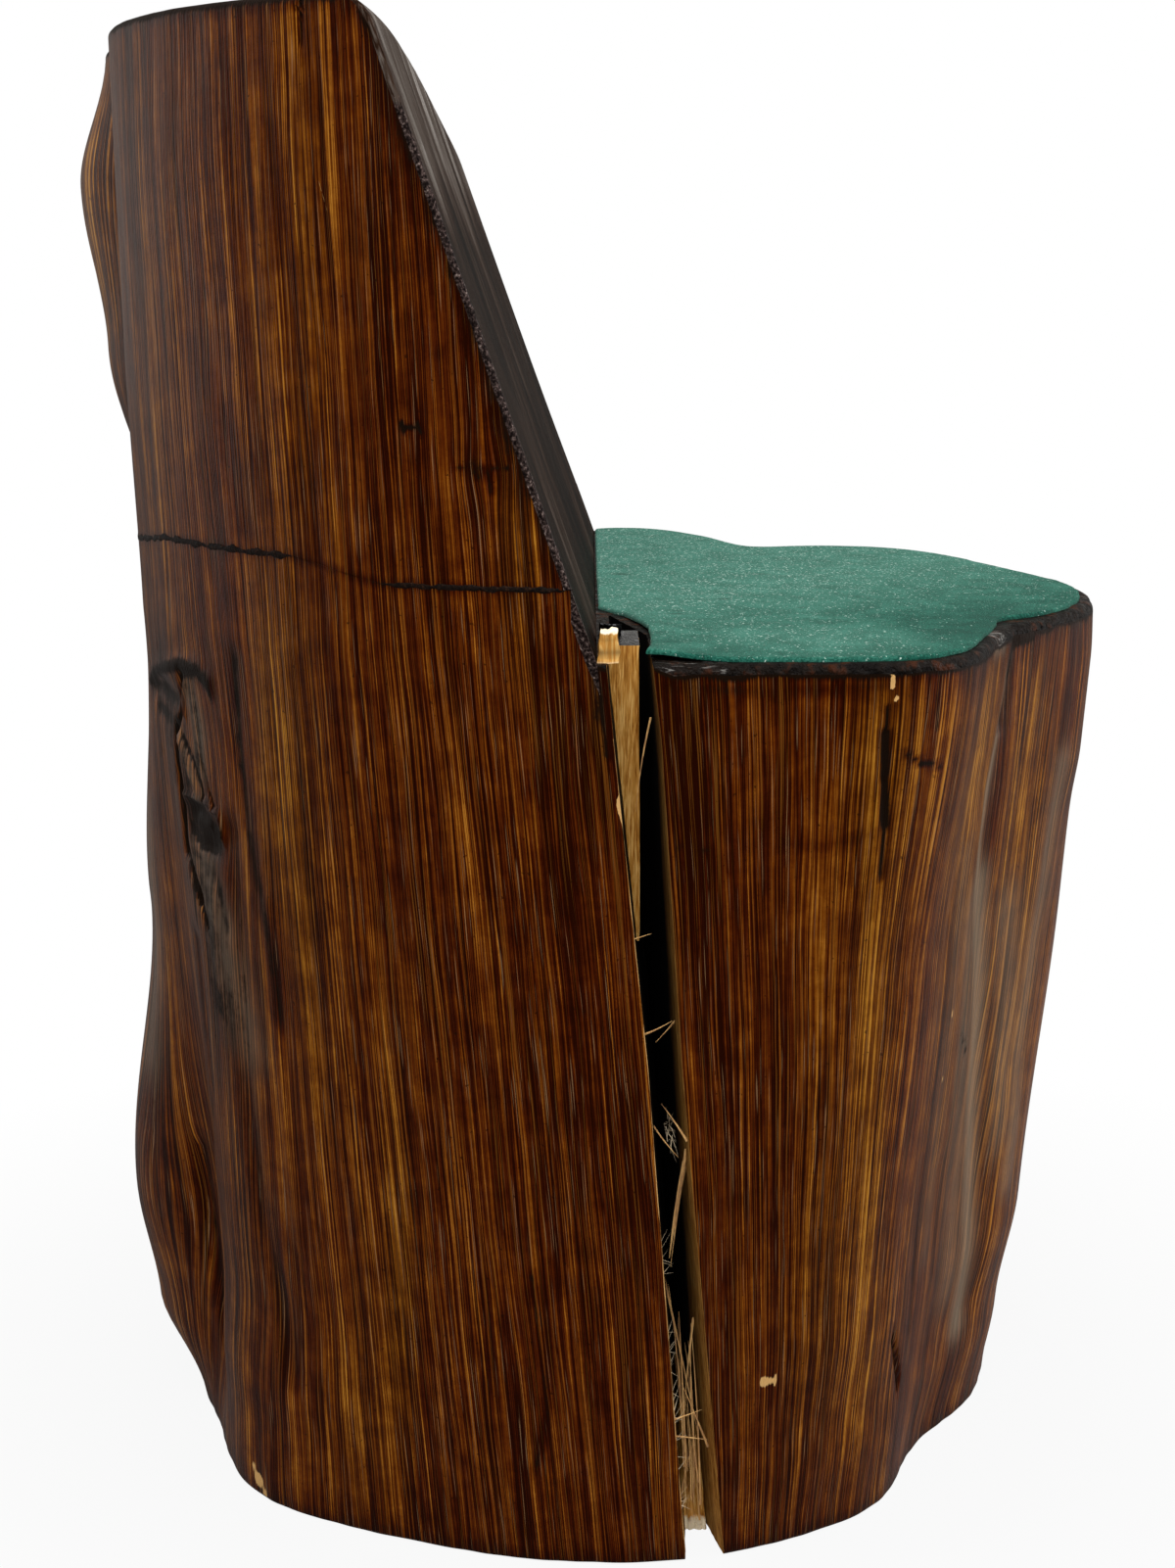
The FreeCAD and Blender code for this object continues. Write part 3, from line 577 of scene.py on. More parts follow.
# Materials
def varnished_log():
    """Stained, varnished sapwood of a peeled softwood log: the stain was wiped into combed
    grain, so dark and golden streaks 0.5 to 3 mm wide run along it under a soft gloss, black
    lacquer covers the rims and scars, and chips show pale bare wood."""
    material, tree, _ = new_material("varnished_log")
    place = on_point(tree, "grain", "Vector")
    golden_value, dark_value, bare_value, sheen_paint_value = (
        on_point(tree, name) for name in ("tone", "dark", "bare", "sheen_paint"))
    # width and length in mm, detail, seed
    fine, second, medium, broad, combed, pressed, painted_glint_lines = (
        streaks(tree, place, *sizes) for sizes in (
            (0.8, 130, 4, 3.1), (1.9, 200, 3, 29.0), (5.5, 240, 2, 17.0), (24.0, 420, 1, 41.0),
            (0.75, 150, 2, 53.0), (0.85, 160, 2, 83.0), (0.6, 46, 1, 67.0)))
    speck, cloud = noise(tree, place, 430.0, 2.0, 0.55), noise(tree, place, 70.0, 5.0, 0.65)
    mixed = weighted(
        tree, -0.016, (fine, 0.58), (second, 0.26), (medium, 0.18), (broad, 0.1), (cloud, 0.15),
        (golden_value, 0.06), (dark_value, -0.13))
    stain, golden = (
        ramp(tree, mixed, *zip((0.545, 0.586, 0.62, 0.658, 0.698, 0.752), codes)) for codes in (
            ("#1c0401", "#2e0a02", "#421604", "#582605", "#77400c", "#aa6f26"),
            ("#1a0702", "#2e1003", "#421d05", "#5b2e05", "#7d490d", "#ae7828")))
    stain = cover(tree, stain, remap(tree, golden_value, 0.0, 0.6), golden)
    # thin dark pressed lines, golden combed lines, thin pale lines that are painted glints on the
    # raised grain, and dark pits
    for part, low, high, most, code in (
            (pressed, 0.6, 0.68, 0.6, "#1c0400"), (combed, 0.59, 0.65, 0.45, "#87521b"),
            (painted_glint_lines, 0.66, 0.73, 0.42, "#a8825c"), (speck, 0.31, 0.26, 0.7, "#150602")):
        stain = cover(tree, stain, remap(tree, part, low, high, 0.0, most), code)
    # painted sheen: grey where the varnish catches the light, strongest where the surface is seen
    # at a slant
    slant = add(tree, "ShaderNodeLayerWeight", {"Blend": 0.5}).outputs["Facing"]
    sheen_paint_share = product(tree, fine, 0.9, sheen_paint_value, remap(tree, slant, 0.08, 0.42, 0.14, 1.0))
    stain = cover(tree, stain, sheen_paint_share, "#9a8a74")
    black = remap(tree, weighted(tree, dark_value, (fine, -0.9), (cloud, 1.3)), 0.66, 0.98)
    stain = cover(tree, stain, black, "#100a07")
    raw = remap(tree, weighted(tree, bare_value, (fine, 0.5)), 0.62, 0.74)
    stain = cover(tree, stain, raw, "#d0a468")
    gloss = weighted(tree, remap(tree, fine, 0.3, 0.7, 0.4, 0.28), (black, 0.24))
    height = weighted(tree, fine, (medium, 0.7), (speck, 0.25))
    finish(tree, stain, height, 0.75, 0.0006,
           Roughness=gloss, Specular_IOR_Level=0.08, Specular_Tint="#e0903a")
    return material


def black_end_grain():
    """Sawn wood brushed with thick black lacquer: nearly black with a broken gloss, brown where
    it has worn through on the high spots, pale grey where a thin loose skin of it lies at the
    fold, and streaked with painted glints along the front of the rim."""
    material, tree, place = new_material("black_lacquered_wood")
    lumps, patches = noise(tree, place, 330.0, 4.0), noise(tree, place, 110.0, 3.0)
    base = ramp(tree, patches, (0.4, "#080504"), (0.55, "#150f0b"), (0.66, "#34190b"))
    # pale grey streaks: painted glints along the front of the rim, and the loose skin of lacquer at
    # the fold
    drawn = add(tree, "ShaderNodeMapping", {"Vector": place, "Scale": (900.0, 85.0, 1000.0)})
    film_and_glint_level = weighted(tree, noise(tree, drawn.outputs[0], 1.0, 2.0), (on_point(tree, "film_and_glint"), 0.5))
    base = cover(tree, base, remap(tree, film_and_glint_level, 0.76, 0.88, 0.0, 0.8), "#76736f")
    finish(tree, base, weighted(tree, lumps, (patches, 2.0)), 1.0, 0.0022,
           Roughness=remap(tree, lumps, 0.35, 0.65, 0.2, 0.6), Specular_IOR_Level=0.05)
    return material


def sawn_face():
    """Sawn wood stained grey-black: fine drawn-out saw and grain lines with a soft sheen, paler
    towards the crest as painted sheen, and a lumpy glossy bead of lacquer along its arris
    whose lighter lumps are painted glints."""
    material, tree, place = new_material("sawn_stained_face")
    slope = math.atan2(face_crest_y - face_foot_y, crest_z - seat_z)
    sloping = add(tree, "ShaderNodeVectorRotate", {"Vector": place, "Angle": slope},
                  rotation_type="X_AXIS").outputs[0]
    fine, broad, patches = (
        streaks(tree, sloping, *sizes) for sizes in (
            (1.1, 60, 5, 5.0), (9.0, 160, 3, 23.0), (42.0, 130, 4, 61.0)))
    lumps = noise(tree, place, 700.0, 3.0, 0.65)
    mixed = product(tree, weighted(tree, fine, (broad, 0.5), (patches, 0.9)), 0.42)
    # the pale value lightens the face towards the crest: painted sheen
    mixed = weighted(tree, mixed, (on_point(tree, "pale"), 0.1))
    sawn = ramp(tree, mixed, (0.43, "#050302"), (0.5, "#130b07"), (0.56, "#281a12"),
                (0.64, "#4c443e"), (0.74, "#96908b"))
    # the bead: dark lacquer whose lighter lumps are painted glints
    bead_grit_and_glints = ramp(tree, lumps, (0.4, "#0d0909"), (0.51, "#261e1c"), (0.61, "#463a37"),
                (0.74, "#85776f"))
    bead = remap(tree, weighted(tree, on_point(tree, "bead"), (lumps, 0.5)), 0.62, 0.82)
    height = add(tree, "ShaderNodeMix", {0: bead, 2: fine, 3: lumps}).outputs[0]
    finish(tree, cover(tree, sawn, bead, bead_grit_and_glints), height, 0.6, 0.0008,
           Roughness=remap(tree, bead, 0.0, 1.0, 0.5, 0.38),
           Specular_IOR_Level=0.015, Specular_Tint="#c8a888")
    return material


def raw_softwood(name, pale, mid, deep):
    """Torn bare softwood: dry, matt, with fibres 0.4 to 1 mm wide between pale and tan. A value
    on the points turns it black deep in the crack as painted shade, and nearly white as painted
    light on the splinters and the ledge's foot, and where a fibre has just been torn."""
    material, tree, place = new_material(name)
    fine, broad = streaks(tree, place, 0.7, 45, 3, 9.0), streaks(tree, place, 3.5, 120, 2, 31.0)
    base = ramp(tree, weighted(tree, fine, (broad, 0.7)), (0.66, deep), (0.84, mid), (1.0, pale))
    # above 0 towards black, as painted shade deep in the crack and as darker patches on the chunk;
    # below 0 towards white, as painted light on the splinters and the ledge's foot and as the
    # chunk's pale torn top
    painted_shade_light_and_tone = on_point(tree, "black")
    black = remap(tree, weighted(tree, painted_shade_light_and_tone, (fine, 0.5)), 0.45, 1.15)
    white = remap(tree, painted_shade_light_and_tone, -1.0, 0.0, 1.0, 0.0)
    base = cover(tree, cover(tree, base, black, "#060302"), white, "#f4e6c8")
    finish(tree, base, fine, 0.8, 0.0008, Roughness=0.75, Specular_IOR_Level=0.1)
    return material


def seat_felt():
    """Pressed wool felt dyed green: no weave, a matt nap of tangled fibres with pale lint caught in
    it, greyed by dirt in the middle and towards the back, darker at the front right as painted
    shade, and a few dark stains."""
    material, tree, place = new_material("pressed_wool_felt")
    nap, lint = noise(tree, place, 900.0, 3.0, 0.7), noise(tree, place, 620.0, 2.0)
    mottle, dust_and_shade_value = noise(tree, place, 60.0, 4.0), on_point(tree, "dust_and_shade")
    # the value on the points greys the felt where it is dirty, and below 0 darkens it at the front
    # right as painted shade
    mixed = weighted(tree, nap, (mottle, 0.55), (dust_and_shade_value, 0.4))
    base = ramp(tree, mixed, (0.62, "#04332a"), (0.8, "#134c3f"), (1.0, "#336b5d"))
    base = cover(tree, base, product(tree, dust_and_shade_value, 0.38), "#6f9284")
    flecks = remap(tree, weighted(tree, lint, (dust_and_shade_value, 0.16)), 0.67, 0.71, 0.0, 0.8)
    base = cover(tree, base, flecks, "#b9cfc4")
    base = cover(tree, base, on_point(tree, "dark"), "#14241c")
    finish(tree, base, nap, 0.7, 0.001, Roughness=0.95, Specular_IOR_Level=0.06,
           Sheen_Weight=0.16, Sheen_Roughness=0.5, Sheen_Tint="#9fc4b4")
    return material


def dark_filler():
    """Wood filler pressed into the saw cut and rubbed dark: matt, crumbly, near black-brown."""
    material, tree, place = new_material("dark_wood_filler")
    crumbs = noise(tree, place, 600.0, 4.0, 0.65)
    base = ramp(tree, crumbs, (0.4, "#090503"), (0.6, "#190e08"), (0.72, "#3c2414"))
    finish(tree, base, crumbs, 0.8, 0.0008, Roughness=0.6, Specular_IOR_Level=0.06)
    return material


def lacquer_film():
    """A loose skin of brittle lacquer: glossy grey-black with fine wrinkles, their high points
    drawn pale grey as painted glints.
    """
    material, tree, place = new_material("brittle_black_lacquer")
    wrinkles = noise(tree, place, 330.0, 3.0)
    # the pale grey stop paints glints on the high wrinkles
    base = ramp(tree, wrinkles, (0.44, "#050505"), (0.58, "#161617"), (0.68, "#6e6e70"))
    finish(tree, base, wrinkles, 0.9, 0.002, Roughness=0.22)
    return material


LOG = varnished_log()
END_GRAIN = black_end_grain()
SAWN = sawn_face()
RAW = raw_softwood("torn_softwood", "#e8b76a", "#c58a3c", "#8c5418")
RAW_DEEP = raw_softwood("torn_softwood_deep_in_crack", "#dca556", "#ab7430", "#744516")
DOWEL = raw_softwood("turned_dowel_wood", "#e0c294", "#cba873", "#a98350")
FELT = seat_felt()
FILLER = dark_filler()
FILM = lacquer_film()


# Stump and back
def make_stump():
    """One band of upright columns: round the bark from the crack's right lip to its left lip,
    then in along the left wall, round the tip and out along the right wall. Each column runs
    from the floor up to the seat, to the arris of the sawn face or to the glued joint. The
    seat, the sawn strip, the joint and the underside close it."""
    bark_slot, wall_slot, sawn_slot, end_slot = range(4)
    foot_round, seat_round, sharp_round, ledge_round = 2.2, 4.4, 0.4, 1.5
    knee_share, steps = 0.45, 10
    strip_z = np.linspace(seat_z, joint_z, steps + 1)
    near, far = arris_angle(strip_z, *NEAR_SEARCH), arris_angle(strip_z, *FAR_SEARCH)
    lip, mouth, _ = crack_at(seat_z)
    left_seat, right_seat = lip_angle(lip, seat_z), lip_angle(lip - mouth, seat_z)
    front = runs((right_seat, 92, far[0]), (226, 62))
    rear = runs((far[-1], 258, 283, 313, near[-1] + 360), (48, 32, 108, 106))
    ledge = np.linspace(near[0] + 360, left_seat + 360, 5)
    start = np.concatenate([front, far[1:-1], rear, near[-2:0:-1] + 360, ledge])
    turned, flat, bark = np.radians(start), 0 * start, len(start)
    tops = np.concatenate([
        np.full(len(front), seat_z), strip_z[1:-1],
        joint_height(-lobed_radius(rear, joint_z) * np.sin(np.radians(rear))),
        strip_z[-2:0:-1], np.full(len(ledge), seat_z)])
    at_seat = tops < seat_z + 0.1
    rim = np.concatenate([
        seat_round * np.clip((far[0] - front) / 4, 0.08, 1),
        np.full(bark - len(front) - len(ledge), sharp_round),
        np.linspace(sharp_round, ledge_round, len(ledge))])
    rim = rim * (1 + 0.14 * rough(turned * 30, flat, 21)) \
        * np.clip((start - right_seat) / 2.5 + 0.25, 0.25, 1)

    # heights: a small round at the foot, even rows, then the rim's quarter round
    body = runs((0, 0.56, 0.92, 1), (44, 60, 20))[:, None]
    foot_turn = np.radians([[0], [30], [60]])
    rim_turn = np.radians(np.linspace(0, 90, 7)[1:, None])
    levels = np.concatenate([
        foot_round * (1 - np.cos(foot_turn)) + flat, foot_round + (tops - rim - foot_round) * body,
        tops - rim * (1 - np.sin(rim_turn))])
    insets = np.concatenate([
        foot_round * (1 - np.sin(foot_turn)) + flat, 0 * body + flat, rim * (1 - np.cos(rim_turn))])

    # the bark's columns lean with the crack
    signed = np.where(start > 190, start - 360, start)
    rightward = signed > 2
    sill = np.minimum(levels, seat_z)
    lip, mouth, _ = crack_at(sill)
    lean = np.where(rightward, lip_angle(lip - mouth, sill) - right_seat,
                    lip_angle(lip, sill) - left_seat)
    share = np.where(rightward, hump(signed - right_seat, 22), hump(signed - left_seat, 40))
    angle = signed + lean * share
    outer = ring_point(angle, levels, bark_radius(angle, levels) - insets)
    _, dark, bare = marks(angle, levels)
    level, level_right, below = levels[:, -1:], levels[:, :1], tops - levels
    ragged = 0.5 + 0.22 * rough(level / 9, 0 * level, 24)
    bare[:, -1:] = np.maximum(bare[:, -1:], ragged * (level < 390) * (level > 12))
    drip = 1.2 + 0.6 * rough(turned * 34, flat, 22) + 0.5 * rough(turned * 130, flat, 23)
    rim_black = 1.1 * (hump(below, rim + drip, 4) + 0.35 * hump(below, 14)) * at_seat
    strip_black = 0.75 * np.exp(-np.abs(signed - np.interp(levels, strip_z, near)) / 0.9) \
        * (levels > seat_z - 40) * (signed < 2)
    joint_black = 0.5 * hump(below, 2.2) * ~at_seat
    foot_black = 0.45 * hump(levels, 7)
    dark = np.maximum.reduce([dark, rim_black, joint_black, foot_black, strip_black])

    # walls of the crack, from the left lip in to the tip and out again past the knee
    lip, _, knee = crack_at(level)
    inward, outward = np.linspace(0, 1, 26)[1:] ** 1.15, np.linspace(0, 1, 30)[:-1]
    left_x, left_y = outer[:, -1:, 0], outer[:, -1:, 1]
    x = left_x + (crack_tip_x - left_x) * inward
    y = left_y + (lip - 2 - left_y) * inward \
        - 0.8 * np.abs(rough(x / 6, level / 40, 31)) * np.clip(inward * 8, 0, 1)
    left_wall = np.stack([x, y, level + 0 * x], -1)
    past_knee = (outward - knee_share) / (1 - knee_share)

    def bent(tip, knee_value, last):
        """A straight run from the tip to the knee and another from there to the bark."""
        return np.where(outward < knee_share, tip + (knee_value - tip) * outward / knee_share,
                        knee_value + (last - knee_value) * past_knee)

    x = bent(crack_tip_x, crack_knee_x, outer[:, :1, 0])
    y = bent(lip - 3, lip - knee, outer[:, :1, 1]) \
        + 0.9 * np.abs(rough(x / 5, level_right / 34, 37)) \
        * np.clip((1 - outward) * 9, 0, 1) * np.clip(outward * 9, 0, 1)
    right_wall = np.stack([x, y, level_right + 0 * x], -1)

    band = np.concatenate([outer, left_wall, right_wall], 1)
    rows, columns = band.shape[:2]
    rim_row, arris_row = rows - len(rim_turn) - 1, rows - len(rim_turn) - 8
    far_first, near_first = len(front) - 1, bark - len(ledge)
    points, faces = [band.reshape(-1, 3)], quads(rows, columns)
    column, row = np.tile(np.arange(columns), rows - 1), np.repeat(np.arange(rows - 1), columns)
    on_rim = (row >= rim_row) & np.append(at_seat, np.ones(columns - bark, dtype=bool))[column]
    on_arris = (row >= arris_row) & (column >= near_first - steps) & (column < near_first)
    slots = np.select([column >= bark - 1, on_rim, on_arris],
                      [wall_slot, end_slot, sawn_slot], bark_slot).tolist()
    top = (rows - 1) * columns + np.arange(columns)

    # sawn strip between the seat and the joint
    near_column = near_first - np.arange(steps + 1)
    far_column = far_first + np.arange(steps + 1)
    near_top, far_top = band[-1, near_column][:, None], band[-1, far_column][:, None]
    inner = near_top + (far_top - near_top) * np.linspace(0, 1, 61)[1:-1, None]
    numbers = rows * columns + np.arange(inner[..., 0].size).reshape(inner.shape[:2])
    table = np.concatenate([top[near_column][:, None], numbers, top[far_column][:, None]], 1)
    points.append(inner.reshape(-1, 3))
    made = np.stack([table[:-1, :-1], table[:-1, 1:], table[1:, 1:], table[1:, :-1]], -1)
    faces += made.reshape(-1, 4).tolist()
    slots += [sawn_slot] * made[..., 0].size

    # glued joint, seat and underside
    edge = np.concatenate([top[far_first + steps:near_first - steps + 1], table[-1, 1:-1]])
    more, made = fan(
        np.concatenate(points)[edge], edge, np.array([0.0, 120.0, 0.0]),
        (0.85, 0.7, 0.55, 0.4, 0.25, 0.1), lambda ring: joint_height(ring[:, 1]),
        rows * columns + numbers.size)
    faces += made
    seat = np.concatenate([top[:far_first + 1], table[0, -2:0:-1], top[near_first:]])
    faces.append(seat.tolist())
    faces.append(np.arange(columns)[::-1].tolist())
    slots += [end_slot] * (len(made) + 1) + [wall_slot]
    points = np.concatenate(points + [more])

    # values on the points; the grey along the folds is painted sheen
    extra = len(points) - rows * columns
    # the crack's walls turn black the further in and the higher up they are: painted shade
    black = np.concatenate([
        np.zeros((rows, bark)), np.clip(0.35 + level / 330 + 1.6 * inward, 0, 1),
        np.clip(0.08 + level_right / 800 + 1.1 * (1 - np.clip(past_knee, 0, 1)) ** 1.4, 0, 1)], 1)
    grain = np.concatenate([grain_place(angle, levels), left_wall, right_wall], 1).reshape(-1, 3)
    bead = np.zeros((rows, columns))
    bead[arris_row:, near_first - steps - 1:near_first + 1] = 1.0
    # a loose skin of lacquer at the fold, and painted glints along the front of the rim
    film_and_glint = 0.38 * hump(signed - 7, 8) * rightward + 0.56 * hump(signed - 49.6, 2.4, 4)
    values = {"grain": np.concatenate([grain * MM, np.zeros((extra, 3))])}
    for key, data in (
            ("bead", bead), ("black", black), ("tone", tone(angle, levels)), ("dark", dark),
            ("bare", bare), ("sheen_paint", painted_sheen_amount(angle, levels)), ("film_and_glint", film_and_glint * hump(below, 7, 4))):
        values[key] = padded(data, columns, extra)
    piece = make_piece("stump_bark", points, faces, [LOG, RAW_DEEP, SAWN, END_GRAIN],
                       slots, values)
    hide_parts("stump")


def make_back():
    """Closed loops up the back: round the bark from the far arris past the rear to the near
    arris, then straight along the sawn face, with a small curve at each arris. The loops start
    on the glued joint and draw in at the crest, more at the front than at the bark."""
    bark_slot, sawn_slot, end_slot = range(3)
    arris_round, bark_round, near_round, middle_pull, far_round = 2.8, 4.5, 13.0, -12.0, 50.0
    crest_turn = np.linspace(0, math.pi / 2, 10)[1:]
    level = np.concatenate([
        runs((joint_z, crest_z - far_round, crest_z - bark_round), (96, 14)),
        crest_z - bark_round * (1 - np.sin(crest_turn))])[:, None]

    def rounded(radius):
        """How far a quarter round of this radius under the crest lies in at each level."""
        return radius * (1 - np.sqrt(1 - np.clip((level - crest_z) / radius + 1, 0, 1) ** 2))

    bark_inset = rounded(bark_round)
    near, far = (
        arris_angle(level, *search, bark_inset, 0.85 * rounded(radius))[:, None]
        for search, radius in ((NEAR_SEARCH, near_round), (FAR_SEARCH, far_round)))
    margin = math.degrees(arris_round / seat_radius)
    share = 1 - runs((0, 0.53, 1), (240, 62))[::-1]
    angle = far + margin + (near + 360 - margin - (far + margin)) * share
    foot = joint_height(-lobed_radius(angle[:1], joint_z) * np.sin(np.radians(angle[:1])))
    even_z = crest_z - 60
    height = level + (foot - joint_z) * np.clip((even_z - level) / (even_z - joint_z), 0, 1)
    swell = np.exp(-(near + 360 - margin - angle) * math.radians(seat_radius) / 3.4)
    lumpy = rough(np.radians(angle) * seat_radius / 2.4, level / 2.6, 53)
    swell = swell * (0.5 + 0.9 * np.abs(lumpy))
    bark = ring_point(angle, height, bark_radius(angle, height) - bark_inset + 0.7 * swell)
    near_corner, far_corner = (
        ring_point(arris, level, lobed_radius(arris, level) - bark_inset) for arris in (near, far))

    # sawn face, drawn in under the crest by a radius that grows from the near to the far side
    across = runs((0, 0.036, 1), (9, 84))
    near_x, far_x = near_corner[..., 0] + arris_round, far_corner[..., 0] - arris_round
    x = near_x + (far_x - near_x) * across
    within = np.clip(np.minimum(across, 1 - across) * 12, 0, 1) \
        * np.clip(np.minimum(crest_z - level, level - joint_z) / 30, 0, 1)
    beaded = 0.6 * np.abs(rough(x / 2.0, level / 2.0, 52)) * hump(across, 0.011)
    radius = near_round * (1 - across) ** 2 + 2 * middle_pull * across * (1 - across) \
        + far_round * across ** 2
    y = face_y(level) + 0.85 * rounded(radius) - beaded \
        + within * (0.3 - 0.5 * rough(x / 45, level / 60, 43))
    face = np.stack([x, y, level + 0 * x], -1)
    bend = np.linspace(0, 1, 8)[1:-1]

    def curve(first, corner, last):
        """Quadratic curve from one point to another, pulled towards the arris between them."""
        t = bend[:, None]
        return (1 - t) ** 2 * first + 2 * t * (1 - t) * corner + t ** 2 * last

    lumps = 0.6 * np.abs(rough(level / 2.0, bend * 5, 51))[..., None] * np.array([-0.6, -0.8, 0])
    near_curve = curve(bark[:, -1:], near_corner, face[:, :1]) + lumps
    far_curve = curve(face[:, -1:], far_corner, bark[:, :1])
    band = np.concatenate([bark, near_curve, face, far_curve], 1)
    rows, columns = band.shape[:2]
    bark_columns = angle.shape[1]
    column = np.tile(np.arange(columns), rows - 1)
    on_face = (column >= bark_columns - 1) & (column < columns - 3)
    points, faces = band.reshape(-1, 3), quads(rows, columns)
    slots = np.where(on_face, sawn_slot, bark_slot).tolist()
    for row, height_of in (
            (0, lambda ring: joint_height(ring[:, 1])),
            (rows - 1, lambda ring: crest_z + 0.2 * rough(ring[:, 0] / 30, ring[:, 1] / 30, 61))):
        more, made = fan(
            band[row], row * columns + np.arange(columns), np.array([0.0, 150.0, 0.0]),
            (0.93, 0.8, 0.65, 0.5, 0.35, 0.2, 0.08), height_of, len(points), flip=row == 0)
        points = np.concatenate([points, more])
        faces += made
        slots += [end_slot] * len(made)

    # values on the points
    signed = np.where(angle > 190, angle - 360, angle)
    _, dark, bare = marks(signed, height)
    beside = np.abs(signed - near) * math.radians(1) * seat_radius
    dark = np.maximum.reduce([
        dark, 1.1 * hump(crest_z - height, 4.5), 0.5 * hump(height - foot, 2.2),
        1.1 * np.exp(-beside / 6.0) * (signed < 60)])
    extra = len(points) - rows * columns
    grain = np.concatenate([grain_place(signed, height), band[:, bark_columns:]], 1).reshape(-1, 3)
    bead = np.concatenate([
        np.ones(bark_columns + len(bend)), hump(across, 0.009, 4), np.ones(len(bend))])
    bead = bead * np.clip((crest_z - 36 - level) / 16, 0, 1)
    # pale: the sawn face lightens towards the crest as painted sheen
    pale = np.clip((level - crest_z + 100) / 40, 0, 1) + 0 * bead
    values = {"grain": np.concatenate([grain * MM, np.zeros((extra, 3))])}
    for key, data, fill in (("tone", tone(signed, height), 0.0), ("dark", dark, 1.0),
                            ("bare", bare, 0.0), ("bead", bead, 0.0), ("pale", pale, 0.0)):
        values[key] = padded(data, columns, extra, fill)
    piece = make_piece("back_bark", points, faces, [LOG, SAWN, END_GRAIN],
                       slots, values)
    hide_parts("back_block")


# Felt seat
def make_felt():
    """A flat sheet: rings drawn from its cut edge towards a middle point, the top rounded over
    at the edge, and the same rings below. The edge follows the bark inside the black rim, the
    foot of the back, and the tear beside the crack."""
    angle = np.linspace(3.2, 181.2, 420)
    turned, flat = np.radians(angle), 0 * angle
    inset = 6.3 + 0.7 * rough(turned * 26, flat, 71) + 0.3 * rough(turned * 140, flat, 72) \
        + 9.0 * hump(angle - 59.5, 5.5) + 7.0 * hump(angle - 3.2, 4.5)
    curve = ring_point(angle, seat_z, lobed_radius(angle, seat_z) - inset)[:, :2]
    corners = np.array([
        (curve[-1, 0] - 2, face_foot_y - 0.7), (60, face_foot_y - 0.7), (-63, face_foot_y - 1.2),
        (-91, -5.5), (-118, -12.0), (-136, -15.2), (-170, -15.6), (-204, -14.6), curve[0]])
    tear = []
    for first, last in zip(corners, corners[1:]):
        number = max(int(np.hypot(*(last - first)) / 2.2), 2)
        tear.append(first + (last - first) * np.linspace(0, 1, number, endpoint=False)[:, None])
    tear = np.concatenate(tear)
    frayed = np.linspace(0, 60, len(tear))
    tear[:, 1] -= 0.35 * np.abs(rough(frayed, 0 * frayed, 73))
    edge = np.concatenate([curve, tear])
    middle = np.array([30.0, -120.0])
    sheet = middle + (edge - middle) * runs((0.02, 0.94, 1), (60, 12))[:, None, None]
    x, y = sheet[..., 0], sheet[..., 1]
    to_edge = np.clip(np.hypot(edge[:, 0] - x, edge[:, 1] - y) / 1.3, 0, 1)
    thick = cover_top_z - seat_z
    rounded = np.sqrt(1 - (1 - to_edge) ** 2)
    low = seat_z + 0.25 + 0.25 * rough(x / 40, y / 40, 74) + 1.0 * bell(x, y, -150, -14, 60, 14) \
        + 2.4 * bell(x, y, -222, -14, 24, 20)
    over, under = low + (0.55 + 0.45 * rounded) * thick - 0.25, low - 0.24
    top, bottom = (np.stack([x, y, z], -1) for z in (over, under))
    band = np.concatenate([top, bottom[::-1]])[::-1]
    x, y = band[..., 0], band[..., 1]
    beyond_tear = np.clip((-y - 20) / 60, 0, 1) * np.clip((y + 165) / 40, 0, 1)
    # dirt greys the middle, the back and beside the tear; the last term darkens the front right
    # below 0 as painted shade
    dust_and_shade = 0.24 * hump(x + 175, 45) * beyond_tear \
        + 0.3 * np.clip((x + 0.9 * y + 260) / 190, 0, 1) \
        - 0.22 * np.clip((-y - 105) / 60, 0, 1) * np.clip((-x - 55) / 50, 0.2, 1)
    spots = np.maximum.reduce([amount * bell(x, y, *spot) for *spot, amount in FELT_SPOTS])
    piece = make_piece("felt_seat", band.reshape(-1, 3), tube(*band.shape[:2]), [FELT],
                       values={"dust_and_shade": dust_and_shade.ravel(), "dark": spots.ravel()}, sharp=60)
    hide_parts("seat_cover")


# Pieces in and beside the crack
def block(low, high, counts, bulge, seed, taper=None):
    """A closed six-sided body between two corners: a grid on each side, moved by an uneven
    pattern so that it looks broken, and narrowed by taper(share of height) -> (x, y) scales."""
    u, v, w = (np.linspace(0, 1, count) for count in counts)
    loop = np.concatenate([
        np.stack([u, 0 * u], -1), np.stack([0 * v[1:] + 1, v[1:]], -1),
        np.stack([u[-2::-1], 0 * u[1:] + 1], -1), np.stack([0 * v[1:-1], v[-2:0:-1]], -1)])
    rows, columns = len(w), len(loop)
    band = np.concatenate([
        np.repeat(loop[None], rows, 0), np.repeat(w[:, None, None], columns, 1)], -1)
    shares, faces = band.reshape(-1, 3), quads(rows, columns)
    for row in (0, rows - 1):
        more, made = fan(
            band[row], row * columns + np.arange(columns), np.array([0.5, 0.5, 0.0]),
            (0.75, 0.5, 0.25), lambda ring: w[row], len(shares), flip=row == 0)
        shares = np.concatenate([shares, more])
        faces += made
    place = shares.copy()
    if taper:
        place[:, :2] = 0.5 + (shares[:, :2] - 0.5) * taper(shares[:, 2])
    place = low + place * (high - low)
    for axis in range(3):
        a, b = place[:, (axis + 1) % 3], place[:, (axis + 2) % 3]
        place[:, axis] += bulge * rough(a / 2.5, b / 6, seed + axis)
    return place, faces, shares


